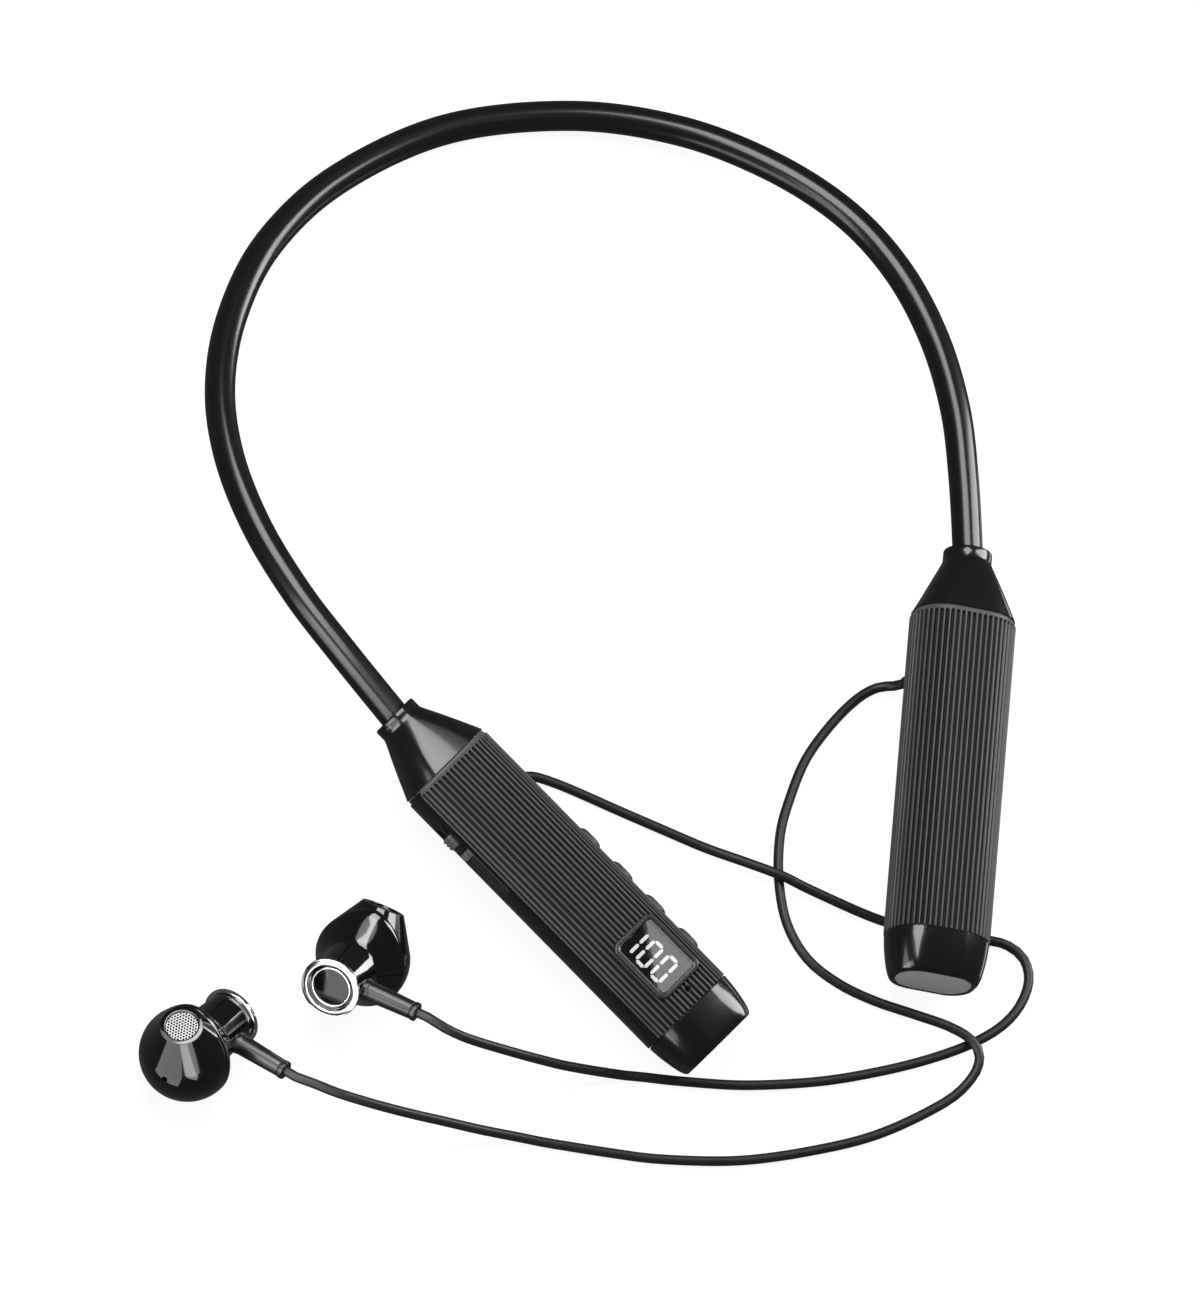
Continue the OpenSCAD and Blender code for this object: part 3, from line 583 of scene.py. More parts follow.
# cords
cord = {"diameter": 1.75, "lead": 2.0, "spacing": 1.6, "sides": 20, "stemReach": 15.1, "stemZ": 7.7}
grommet = {"along": 23.5, "angle": -60, "out": 2.2, "diameter": 3.2}
onFloor = cord["diameter"] / 2
over = 1.5 * cord["diameter"] + 0.15
route = {
    "left": [
        (-11.3, -31.9, 2.4), (-9, -30.4, 1.1), (-5, -29.1, 0), (0, -32, 0), (10, -40.7, 0),
        (20.5, -49.8, 0), (27, -55.4, 2), (32.2, -59.9, over), (37, -64, 2), (47.5, -72.3, 0),
        (56, -76.7, 0), (64.8, -81, 0), (68, -83, 0), (69.8, -86.2, 0), (69, -90.3, 0),
        (65.5, -94.2, 0), (60.5, -96.9, 0), (53.7, -98.4, 0), (45, -98.9, 0), (35, -98.5, 0),
        (24, -97.2, 0), (11, -94.2, 0), (0, -90.3, 0), (-9.5, -86.5, 1), (-20.2, -83.5, 5.1),
        (-26.3, -82, 8.7), (-32.1, -80.4, 12.2), (-39.5, -77.9, 16.2), (-42.8, -76.3, 17.6),
        (-45.4, -74.4, 18.4),
    ],
    "right": [
        (66.3, -32, 2.4), (63.8, -31.1, 1.1), (59.5, -32, 0), (53, -35.2, 0), (46, -40, 0),
        (40.3, -46, 0), (35.8, -52, 0), (32.2, -59.9, 0), (30.4, -68, 0), (31.4, -75.2, 0),
        (35, -81, 0), (40, -85.9, 1), (46, -90.7, 1.8), (50.7, -94.6, 2.5), (53.6, -98.2, over),
        (53.9, -101.6, 2.5), (51.2, -104.7, 1.6), (45, -107.3, 0), (32, -109.4, 0), (20, -109.2, 0),
        (5, -107.2, 0), (-9, -103, 0), (-18.3, -99, 0), (-27.2, -94.8, 0), (-33.6, -91.9, 1.7),
        (-40.3, -89.5, 3.8), (-47.1, -87.1, 6.5), (-53.5, -84.9, 9.1), (-60.5, -82.1, 11.7),
        (-66.6, -78.8, 13.1), (-70, -76.1, 13.2),
    ],
}


def grommetPlace(side):
    a = math.radians(grommet["angle"])
    flatX, flatY = pod["width"] / 2 - pod["edgeRadius"], pod["thickness"] / 2 - pod["edgeRadius"]
    root = (
        flatX + pod["edgeRadius"] * math.cos(a),
        pod["rise"] - flatY + pod["edgeRadius"] * math.sin(a),
        grommet["along"],
    )
    return leg[side] @ Matrix.Translation(root) @ turn(90 + grommet["angle"], "Z") @ turn(90, "X")


def makeCord(side):
    out = grommetPlace(side)
    start = out @ Vector((0, 0, grommet["out"]))
    outward = (out.to_3x3() @ Vector((0, 0, 1))).normalized()
    end = bud[side] @ Vector((cord["stemReach"], 0, cord["stemZ"]))
    stemward = (bud[side].to_3x3() @ Vector((1, 0, 0))).normalized()
    points = [start, start + cord["lead"] * outward]
    points += [Vector((x, y, max(z, onFloor))) for x, y, z in route[side]]
    points += [end + cord["lead"] * stemward, end]
    path = smoothCurve(points, cord["spacing"])
    for p in path:
        p.z = max(p.z, onFloor)
    length = sum((b - a).length for a, b in zip(path, path[1:]))
    bm = tubeMesh(path, onFloor, cord["sides"], outward, -stemward)
    ob = addPiece(
        side + "-cord", bm, Matrix.Identity(4), finish["cordGrey"], side + "_cord", sharp=60,
    )
    tuple(start * 0.001)
    length * 0.001
    [tuple(p * 0.001) for p in path]
    print(side, "cord:", round(length), "mm")


for side in ("left", "right"):
    makeCord(side)


# band
bandShape = {
    "diameter": 5.38,
    "spacing": 1.1,
    "sides": 40,
    "insert": 3.0,
    "half": [
        (56.9, 0, 0), (61.4, 13, -0.5), (65.2, 26, -1.6), (67.1, 40, -3.6), (66.2, 54, -6.1),
        (61.9, 67, -9), (53.3, 79.6, -12.5), (40.5, 91, -16), (22.9, 99.3, -18.4),
    ],
    "apex": (0, 103, -19.2),
}


def makeBand(s):
    flipped = [(-x, y, z) for x, y, z in s["half"]]
    tail = {
        side: onTable.inverted() @ leg[side] @ Vector((0, 0, s["insert"])) for side in ("left", "right")
    }
    run = smoothCurve(flipped + [s["apex"]] + s["half"][::-1], s["spacing"])
    path = [tail["left"]] + run + [tail["right"]]
    bm = tubeMesh(path, s["diameter"] / 2, s["sides"])
    addPiece("band", bm, onTable, finish["bandBlack"], "band_tube", sharp=60)


makeBand(bandShape)
print("band made")


# pods: x to the inner side, y out of the front, s along from the ferrule's mouth
def inLeg(side, x=0.0, y=0.0, s=0.0):
    return leg[side] @ Matrix.Translation((x, y, s))


# frames whose z looks out of a pod's inner side, its front and its outer side
sideways = Matrix(((0, 0, 1, 0), (1, 0, 0, 0), (0, 1, 0, 0), (0, 0, 0, 1)))
outOfFront = Matrix(((-1, 0, 0, 0), (0, 0, 1, 0), (0, 1, 0, 0), (0, 0, 0, 1)))
outOfOuter = Matrix(((0, 0, -1, 0), (-1, 0, 0, 0), (0, 1, 0, 0), (0, 0, 0, 1)))


def throughRows(rows, steps):
    # more rows on a smooth run through the given ones
    out = []
    for i in range(len(rows) - 1):
        for k in range(steps):
            t = k / steps
            a, b, c, d = rows[max(i - 1, 0)], rows[i], rows[i + 1], rows[min(i + 2, len(rows) - 1)]
            out.append([
                0.5 * (2 * q + (r - p) * t + (2 * p - 5 * q + 4 * r - w) * t * t
                       + (3 * q - p - 3 * r + w) * t * t * t)
                for p, q, r, w in zip(a, b, c, d)
            ])
    return out + [list(rows[-1])]


def sectionRow(s, hw, ht, r, rise):
    return [(x, y, s) for x, y in roundRect(hw, ht, r, rise)]


ferrule = {"bore": 2.75, "collar": 2.1, "steps": 4}


def makeFerrule(side):
    m, e = pod["mouth"] / 2, pod["ferruleEnd"]
    hw, ht = pod["width"] / 2 - 0.3, pod["thickness"] / 2 - 0.3
    bore = ferrule["bore"]
    flare = throughRows([
        (ferrule["collar"], m, m, m - 0.05, 0),
        (3.0, m + 0.06 * (hw - m), m + 0.1 * (ht - m), m - 0.05, 0.05),
        (0.43 * e, m + 0.29 * (hw - m), m + 0.36 * (ht - m), m + 0.1, 0.15),
        (0.62 * e, m + 0.52 * (hw - m), m + 0.6 * (ht - m), m + 0.4, 0.25),
        (0.83 * e, m + 0.78 * (hw - m), m + 0.84 * (ht - m), m + 0.9, 0.35),
        (e - 0.15, hw, ht, pod["edgeRadius"] - 0.7, pod["rise"]),
    ], ferrule["steps"])
    rows = [
        (2.9, bore, bore, bore - 0.01, 0),
        (0.15, bore, bore, bore - 0.01, 0),
        (0.0, bore + 0.15, bore + 0.15, bore + 0.1, 0),
        (0.0, m - 0.35, m - 0.35, m - 0.4, 0),
        (0.1, m - 0.12, m - 0.12, m - 0.17, 0),
        (0.35, m, m, m - 0.05, 0),
        (ferrule["collar"] / 2, m, m, m - 0.05, 0),
    ] + flare + [
        (e, hw - 0.12, ht - 0.12, pod["edgeRadius"] - 0.5, pod["rise"]),
        (e, hw - 1.2, ht - 1.2, pod["edgeRadius"] - 1.5, pod["rise"]),
    ]
    bm = bmesh.new()
    ringStrip(bm, [sectionRow(*row) for row in rows])
    addPiece(side + "-ferrule", bm, leg[side], finish["podGloss"], side + "_ferrule")


cap = {"seam": 0.28, "plateWidth": 13.6, "plateThickness": 9.0, "plateDepth": 0.6}


def makeCap(side):
    s, end = pod["sleeveEnd"], pod["length"]
    length = end - s
    hw, ht, r = pod["width"] / 2 - 0.12, pod["thickness"] / 2 - 0.12, pod["edgeRadius"] - 0.12
    taper = throughRows([
        (s + 0.25, hw, ht, r, pod["rise"]),
        (s + 0.3 * length, hw - 0.2, ht - 0.2, r - 0.3, pod["rise"]),
        (s + 0.6 * length, hw - 0.6, ht - 0.55, r - 0.75, pod["rise"]),
        (s + 0.82 * length, hw - 1.05, ht - 0.9, r - 1.25, pod["rise"]),
        (s + 0.95 * length, hw - 1.5, ht - 1.25, r - 1.7, pod["rise"]),
    ], 4)
    pw, pt = cap["plateWidth"] / 2 + 0.12, cap["plateThickness"] / 2 + 0.12
    rows = [
        (s + 0.02, hw - 1.2, ht - 1.2, r - 1.2, pod["rise"]),
        (s + 0.02, hw - cap["seam"], ht - cap["seam"], r - cap["seam"], pod["rise"]),
        (s + 0.1, hw - cap["seam"], ht - cap["seam"], r - cap["seam"], pod["rise"]),
        (s + 0.16, hw - 0.06, ht - 0.06, r - 0.06, pod["rise"]),
    ] + taper + [
        (end - 0.12, hw - 1.75, ht - 1.48, r - 1.95, pod["rise"]),
        (end, hw - 2.0, ht - 1.75, r - 2.2, pod["rise"]),
        (end, pw + 0.1, pt + 0.1, pt - 0.1, pod["rise"]),
        (end - 0.1, pw, pt, pt - 0.2, pod["rise"]),
        (end - cap["plateDepth"], pw, pt, pt - 0.2, pod["rise"]),
    ]
    bm = bmesh.new()
    ringStrip(bm, [sectionRow(*row) for row in rows])
    addPiece(side + "-end-cap", bm, leg[side], finish["podGloss"], side + "_end_cap")
    hw, ht = cap["plateWidth"] / 2, cap["plateThickness"] / 2
    bm = slab(
        lambda inset: [(x, y + pod["rise"]) for x, y in roundRect(hw - inset, ht - inset, ht - 0.3 - inset)],
        end - cap["plateDepth"] + 0.02, end - 0.02, 0.2,
    )
    addPiece(side + "-end-plate", bm, leg[side], finish["plateGrey"], side + "_end_plate")


ribs = {
    # the last but one entry sets how deep in a groove a face must lie to take the painted shade
    "pitch": 1.0, "halfGroove": 0.36, "depth": 0.58, "outer": 10, "inner": 16, "start": 13.95,
    "across": 12, "paintedShadeFrom": 0.3,
}
shell = {"shoulder": 0.35, "seamOuter": -10.52, "seamInner": 17.34, "gap": 0.09}
straightLength = 2 * (2 * (pod["width"] + pod["thickness"]) / 2 - 4 * pod["edgeRadius"])
roundLength = straightLength + 2 * math.pi * pod["edgeRadius"]


def outline(u, inset):
    # a point u millimetres round the sleeve from the middle of its front, drawn in by inset
    u = (u + roundLength / 2) % roundLength - roundLength / 2
    r = pod["edgeRadius"]
    fx, fy = pod["width"] / 2 - r, pod["thickness"] / 2 - r
    v, side, corner = abs(u), -1 if u < 0 else 1, r * math.pi / 2
    if v < fx:
        x, y, a = v, fy + r, 0
    elif v < fx + corner:
        a = (v - fx) / r
        x, y = fx + r * math.sin(a), fy + r * math.cos(a)
    elif v < fx + corner + 2 * fy:
        x, y, a = fx + r, fy - (v - fx - corner), math.pi / 2
    elif v < fx + 2 * corner + 2 * fy:
        a = math.pi / 2 + (v - fx - corner - 2 * fy) / r
        x, y = fx + r * math.sin(a), -fy + r * math.cos(a)
    else:
        x, y, a = fx - (v - fx - 2 * corner - 2 * fy), -fy - r, math.pi
    x, y = x - inset * math.sin(a), y - inset * math.cos(a)
    return side * x, y + pod["rise"]


def insetOf(q):
    # how deep a point lies under the sleeve's skin
    r = pod["edgeRadius"]
    x, y = abs(q.x) - (pod["width"] / 2 - r), abs(q.y - pod["rise"]) - (pod["thickness"] / 2 - r)
    return r - (math.hypot(x, y) if x > 0 and y > 0 else max(x, y))


def grooveDepth(u, s):
    i = round(u / ribs["pitch"])
    if not -ribs["outer"] <= i <= ribs["inner"]:
        return 0
    away = math.hypot(u - i * ribs["pitch"], max(0, ribs["start"] - s))
    if away > ribs["halfGroove"]:
        return 0
    return ribs["depth"] * math.cos(math.pi / 2 * away / ribs["halfGroove"]) ** 0.8


def shellMesh(u0, u1, columns, distances, depth):
    bm = bmesh.new()
    rows = []
    for s, inset in distances:
        edge = [u0 + (u1 - u0) * k / columns for k in range(columns + 1)]
        row = [(*outline(u, inset + depth(u, s)), s) for u in edge]
        inner = [u1 + (u0 - u1) * k / 48 for k in range(49)]
        row += [(*outline(u, pod["wall"]), s) for u in inner]
        rows.append(row)
    ringStrip(bm, rows)
    # the bottoms of the grooves take the second finish, a painted shade near black
    for face in bm.faces:
        middle = face.calc_center_median()
        if middle.z > distances[4][0] and len(face.verts) == 4:
            deep = max(insetOf(v.co) for v in face.verts)
            face.material_index = 1 if ribs["paintedShadeFrom"] < deep < pod["wall"] - 0.2 else 0
    return bm


shoulderRows = [
    (pod["ferruleEnd"] + 0.02, shell["shoulder"] + 0.08), (pod["ferruleEnd"] + 0.1, shell["shoulder"]),
    (13.34, shell["shoulder"]), (13.42, 0.14), (13.5, 0.03), (13.6, 0),
]
endRows = [(72.6, 0), (72.72, 0.03), (72.78, 0.12)]
button = {"first": 39.4, "pitch": 8.13, "length": 5.2, "width": 3.4, "proud": 0.9, "height": 0.6, "root": 7.7}
display = {
    "at": 62.2, "length": 13.2, "width": 10.5, "rim": 0.95, "proud": 0.35, "windowDrop": 0.12,
    "glass": 0.8,
}
frontY = pod["thickness"] / 2 + pod["rise"]
microphone = {"at": 70.1, "radius": 0.6, "sides": 24}
switch = {"at": 23.0, "travel": 2.4, "length": 2.4, "width": 2.6, "height": 0.4, "proud": 0.7, "depth": 0.9}
port = {"at": 31.1, "length": 10.6, "width": 4.2, "depth": 0.9, "socket": (9.14, 3.4), "reach": 3.2}


def block(x0, x1, y0, y1, z0, z1):
    bm = bmesh.new()
    ringStrip(bm, [[(x0, y0, z), (x1, y0, z), (x1, y1, z), (x0, y1, z)] for z in (z0, z1)])
    return bm


def moved(bm, matrix):
    bmesh.ops.transform(bm, matrix=matrix, verts=bm.verts)
    return bm


def makeShells(side):
    grid = [(13.6 + 0.06 * k, 0) for k in range(1, 8)] + [(30, 0), (50, 0)]
    count = round((shell["seamInner"] - shell["seamOuter"]) / ribs["pitch"] * ribs["across"])
    front = shellMesh(
        shell["seamOuter"], shell["seamInner"], count, shoulderRows + grid + endRows, grooveDepth
    )
    back = shellMesh(
        shell["seamInner"] + shell["gap"], shell["seamOuter"] + roundLength - shell["gap"], 90,
        shoulderRows + [(30, 0), (50, 0)] + endRows, lambda u, s: 0,
    )
    frontCut, backCut = [], []
    if side == "left":
        hw, hl = display["width"] / 2 + 0.03, display["length"] / 2 + 0.03
        frontCut.append(moved(
            slab(lambda i: roundRect(hw, hl, 1.62), -4, 2),
            Matrix.Translation((0, frontY, display["at"])) @ outOfFront,
        ))
        for k in range(4):
            frontCut.append(moved(
                slab(lambda i: stadium(button["length"] + 0.24, button["width"] + 0.24), button["root"], 12),
                Matrix.Translation((0, button["height"], button["first"] + k * button["pitch"])) @ sideways,
            ))
        hole = microphone["radius"]
        frontCut.append(moved(
            lathe([(0, -3), (hole, -3), (hole, 1), (0, 1)], microphone["sides"]),
            Matrix.Translation((0, frontY, microphone["at"])) @ outOfFront,
        ))
        outer = -pod["width"] / 2
        h, w = switch["height"], switch["width"] / 2 + 0.2
        low = switch["at"] - switch["travel"] - switch["length"] / 2 - 0.7
        high = switch["at"] + switch["length"] / 2 + 0.1
        backCut.append(block(outer - 1, outer + switch["depth"], h - w, h + w, low, high))
        backCut.append(block(outer - 1, outer + 2.2, h - 0.7, h + 0.7, low + 1.1, high - 0.5))
        w = port["width"] / 2 + 0.1
        backCut.append(block(
            outer - 1, outer + port["depth"], h - w, h + w,
            port["at"] - port["length"] / 2 - 0.1, port["at"] + port["length"] / 2 + 0.1,
        ))
        backCut.append(moved(
            slab(lambda i: stadium(*port["socket"]), -1, port["reach"]),
            Matrix.Translation((outer, h, port["at"])) @ sideways,
        ))
    # the front shell carries the rib finish and the painted shade in its grooves
    addPiece(
        side + "-front-shell", front, leg[side], (finish["ribGrey"], finish["ribPaintedShade"]),
        side + "_front_shell", cutters=frontCut, sharp=50,
    )
    addPiece(
        side + "-back-shell", back, leg[side], finish["podGloss"], side + "_back_shell",
        cutters=backCut, sharp=35,
    )


def makeGrommet(side):
    r = grommet["diameter"] / 2
    profile = rounded([
        (0, -1.2), (r, -1.2), (r, 0.25), (r + 0.28, 0.25), (r + 0.28, 0.6), (r - 0.1, 0.75),
        (r - 0.12, 1.0), (r - 0.24, 1.05), (r - 0.26, 1.35), (r - 0.38, 1.4), (r - 0.4, grommet["out"]),
        (0, grommet["out"]),
    ], 0.12, 3)
    addPiece(
        side + "-cord-grommet", lathe(profile, 40), grommetPlace(side), finish["reliefGrey"],
        side + "_cord_grommet",
    )


for side in ("left", "right"):
    makeFerrule(side)
    makeShells(side)
    makeCap(side)
    makeGrommet(side)
print("pods made")


# buttons, switch and port cover
def makeButtons(b):
    names = ("volume_up_button", "play_button", "volume_down_button", "mode_button")
    face = pod["width"] / 2 + b["proud"]
    for k, name in enumerate(names):
        bm = bmesh.new()
        rows = []
        for x, inset in (
            (b["root"] - 0.6, -0.4), (b["root"], -0.4), (b["root"], 0), (face - 0.62, 0), (face - 0.42, 0.05),
            (face - 0.24, 0.17), (face - 0.1, 0.38), (face - 0.02, 0.68), (face, 1.05),
        ):
            rows.append([(p, q, x) for p, q in stadium(b["length"] - 2 * inset, b["width"] - 2 * inset)])
        ringStrip(bm, rows)
        place = inLeg("left", 0, b["height"], b["first"] + k * b["pitch"]) @ sideways
        addPiece(name.replace("_", "-"), bm, place, finish["buttonGrey"], name, body=name)


makeButtons(button)


def fromSolid(node, bevel, body):
    # a node's own solid with its edges softened
    bm = bmesh.new()
    bm.from_mesh(frame["nodes"][node].data)
    bmesh.ops.remove_doubles(bm, verts=bm.verts, dist=1e-7)
    bmesh.ops.dissolve_limit(bm, angle_limit=math.radians(0.6), verts=bm.verts, edges=bm.edges)
    inMillimetres = Matrix.Scale(1000, 4)
    addPiece(node.replace("_", "-"), bm, inMillimetres, nodeFinish[node], node, body=body, bevel=bevel)


def makeKnob(k):
    # thumb ridges along the top, the stem of the knob reaching through the slot
    half, top = k["length"] / 2, k["proud"]
    side = [(-half, -0.8), (-half, top - 0.25)]
    for i in range(3):
        middle = (i - 1) * k["length"] / 3.3
        side += [
            (middle - 0.3, top - 0.22), (middle - 0.16, top), (middle + 0.16, top), (middle + 0.3, top - 0.22)
        ]
    side += [(half, top - 0.25), (half, -0.8)]
    bm = bmesh.new()
    ringStrip(bm, [[(x, s, z) for s, z in side] for x in (-k["width"] / 2, k["width"] / 2)])
    place = inLeg("left", -pod["width"] / 2, k["height"], k["at"]) @ outOfOuter
    addPiece(
        "power-switch-knob", bm, place, finish["knobGrey"], "power_switch_knob", body="power_switch",
        bevel=0.07,
    )


makeKnob(switch)
fromSolid("port_flap", 0.1, "port_cover")
fromSolid("port_flap_tab", 0.1, "port_cover")
print("controls made")


# display
numerals = {
    "height": 5.9, "width": 2.7, "bar": 0.62, "gap": 0.3, "pitch": 3.6, "shiftAcross": -0.3,
    "shiftAlong": -1.1,
}
segments = {"1": (1, 2), "0": (0, 1, 2, 3, 4, 5)}


def makeDisplay(d):
    top = frontY + d["proud"]
    hw, hl = d["width"] / 2, d["length"] / 2
    iw, il = hw - d["rim"], hl - d["rim"]
    place = inLeg("left", 0, 0, d["at"]) @ outOfFront

    def row(z, w, l, r):
        return [(x, y, z) for x, y in roundRect(w, l, r)]

    bm = bmesh.new()
    rows = [
        row(top - 2.2, hw, hl, 1.6), row(top - 0.3, hw, hl, 1.6), row(top - 0.12, hw - 0.06, hl - 0.06, 1.54),
        row(top - 0.02, hw - 0.18, hl - 0.18, 1.42), row(top, hw - 0.32, hl - 0.32, 1.28),
        row(top, iw + 0.14, il + 0.14, 0.94), row(top - 0.06, iw + 0.03, il + 0.03, 0.83),
        row(top - 0.14, iw, il, 0.8), row(top - 2.2, iw, il, 0.8),
    ]
    ringStrip(bm, rows + [rows[0]], closeStart=False, closeEnd=False)
    bmesh.ops.remove_doubles(bm, verts=bm.verts, dist=1e-5)
    addPiece("display-bezel", bm, place, finish["bezelGrey"], "display_bezel")
    glassTop = top - d["windowDrop"]
    bm = slab(
        lambda i: roundRect(iw - 0.02 - i, il - 0.02 - i, 0.78 - i), glassTop - d["glass"], glassTop,
        0.08,
    )
    addPiece(
        "display-window", bm, place, finish["displayGlass"], "display_window", sharp=4,
    )
    n = numerals
    base = glassTop - d["glass"] - 0.25
    bm = bmesh.new()
    across, along = (n["height"] - n["bar"]) / 2, (n["width"] - n["bar"]) / 2
    t = n["bar"] / 2

    def bar(x, y, length, upright):
        h = length / 2
        ends = [(-h, 0), (t - h, t), (h - t, t), (h, 0), (h - t, -t), (t - h, -t)]
        if not upright:
            ends = [(-q, p) for p, q in ends]
        ringStrip(bm, [[(x + p, y + q, z) for p, q in ends] for z in (base, base + 0.14)])

    # the numerals stand across the pod, their tops to its inner side
    bars = (
        (across, 0, False), (across / 2, along, True), (-across / 2, along, True), (-across, 0, False),
        (-across / 2, -along, True), (across / 2, -along, True), (0, 0, False),
    )
    for k, digit in enumerate("100"):
        for i in segments[digit]:
            x, y, upright = bars[i]
            length = across - n["gap"] if upright else 2 * along - n["gap"]
            bar(-(x + n["shiftAcross"]), y + n["shiftAlong"] + (k - 1) * n["pitch"], length, upright)
    addPiece("display-digits", bm, place, finish["litBars"], "display_digits")
    return place @ Vector((0, 0, glassTop))


windowMiddle = toMetres @ makeDisplay(display)
print("display made")


# earbuds
nozzle = {"tilt": 66, "reach": 10.0, "radius": 3.8, "opening": 2.8, "recess": 0.45}
bulb = {"radius": 8.5, "shell": 1.0, "ventAt": 1.1, "vent": 0.55, "sides": 96}
barrel = {"radius": 5.1, "face": 11.7}


def bulbReach(angle):
    # how far the bulb's skin is from its centre, at an angle in radians from the nozzle's axis
    lip = math.atan2(nozzle["radius"], nozzle["reach"])
    blend = lip + math.acos(bulb["radius"] / math.hypot(nozzle["radius"], nozzle["reach"]))
    if angle < lip:
        return nozzle["reach"] / math.cos(angle)
    if angle < blend:
        return bulb["radius"] / math.cos(blend - angle)
    return bulb["radius"]


def nozzlePlace(side):
    return (
        bud[side] @ Matrix.Translation((0, 0, bulbZ))
        @ turn(180 + budPose[side]["side"] * nozzle["tilt"], "X")
    )


def makeBudFront(side):
    a, o, depth = nozzle["reach"], nozzle["opening"], nozzle["recess"]
    inner = bulb["radius"] - bulb["shell"]
    hole = math.asin((o + 0.25) / inner)
    profile = [(0, -inner)]
    profile += [
        (inner * math.sin(t), inner * math.cos(t))
        for t in (math.pi - (math.pi - hole) * k / 40 for k in range(1, 41))
    ]
    profile += [
        (o + 0.25, a - depth - 0.35), (o, a - depth - 0.3), (o, a - depth + 0.1), (o + 0.04, a - 0.12),
        (o + 0.14, a - 0.03), (o + 0.28, a), (o + 0.42, a - 0.01), (o + 0.55, a - 0.07),
    ]
    lip = math.atan2(nozzle["radius"], nozzle["reach"] - 0.18)
    for k in range(72):
        t = lip + (math.pi - lip) * k / 72
        r = bulbReach(t)
        profile.append((r * math.sin(t), r * math.cos(t)))
    profile.append((0, -bulb["radius"]))
    place = nozzlePlace(side)
    halfSpace = moved(
        block(-15, 15, -15, 15, 0, 15), place.inverted() @ bud[side] @ Matrix.Translation((0, 0, bulbZ))
    )
    vent = moved(
        lathe([(0, -12), (bulb["vent"], -12), (bulb["vent"], -6), (0, -6)], 32),
        place.inverted() @ bud[side] @ Matrix.Translation((bulb["ventAt"], 0, bulbZ)),
    )
    addPiece(
        side + "-bud-front", lathe(profile, bulb["sides"]), place, finish["pianoBlack"],
        side + "_bud_front", cutters=[halfSpace, vent], sharp=40,
    )


grille = {"pitch": 0.56, "hole": 0.2, "spare": 0.3, "cells": 8, "thickness": 0.14}


def makeGrille(side):
    # a thin plate of hexagonal cells, each with a round hole
    pitch, hole, limit = grille["pitch"], grille["hole"], nozzle["opening"] + grille["spare"]
    bm = bmesh.new()
    for i in range(-grille["cells"], grille["cells"] + 1):
        for j in range(-grille["cells"], grille["cells"] + 1):
            x, y = pitch * (i + 0.5 * (j % 2)), pitch * j * math.sqrt(3) / 2
            if math.hypot(x, y) > limit:
                continue
            corner = []
            for k in range(12):
                t = math.pi * (k + 1) / 6
                r = pitch / 2 if k % 2 else pitch / math.sqrt(3)
                corner.append((r, t))
            outer = [bm.verts.new((x + r * math.cos(t), y + r * math.sin(t), 0)) for r, t in corner]
            ring = [bm.verts.new((x + hole * math.cos(t), y + hole * math.sin(t), 0)) for r, t in corner]
            for k in range(12):
                m = (k + 1) % 12
                bm.faces.new((outer[k], outer[m], ring[m], ring[k]))
    bmesh.ops.remove_doubles(bm, verts=bm.verts, dist=0.01)
    bmesh.ops.solidify(bm, geom=bm.faces, thickness=grille["thickness"])
    place = nozzlePlace(side) @ Matrix.Translation((0, 0, nozzle["reach"] - nozzle["recess"]))
    addPiece(side + "-bud-grille", bm, place, finish["meshSteel"], side + "_bud_grille")


def makeBudRear(side):
    tilt = math.radians(nozzle["tilt"])
    axis = Vector((0, budPose[side]["side"] * math.sin(tilt), -math.cos(tilt)))
    b, face = barrel["radius"], barrel["face"]
    base = b + 0.45
    rows = []
    n = bulb["sides"]
    for z, share, shrink in (
        (-1, 0.0, 0.5), (-1, 0.0, 0.12), (-0.92, 0.0, 0.03), (-0.8, 0.0, 0), (-0.45, 0.006, 0),
        (-0.1, 0.025, 0), (0.2, 0.08, 0), (0.6, 0.17, 0), (1.4, 0.375, 0), (2.4, 0.63, 0),
        (3.3, 0.86, 0), (3.75, 0.965, 0), (3.92, 1.0, 0),
    ):
        row = []
        for k in range(n):
            t = 2 * math.pi * k / n
            d = Vector((math.cos(t), math.sin(t), 0))
            rim = bulbReach(d.angle(axis))
            r = rim + (base - rim) * share - shrink
            row.append((r * d.x, r * d.y, z))
        rows.append(row)
    for r, z in (
        (base - 0.06, 4.05), (base - 0.2, 4.25), (b + 0.2, 4.7), (b + 0.02, 6), (b - 0.12, 7.5),
        (b - 0.24, 9.2), (b - 0.32, 10.6), (b - 0.35, face - 0.15), (b - 0.45, face), (3.8, face),
        (3.72, face - 0.08), (3.72, face - 0.4),
    ):
        angles = [2 * math.pi * k / n for k in range(n)]
        rows.append([(r * math.cos(t), r * math.sin(t), z) for t in angles])
    bm = bmesh.new()
    ringStrip(bm, rows)
    addPiece(
        side + "-bud-rear", bm, bud[side], finish["pianoBlack"], side + "_bud_rear", sharp=38,
    )


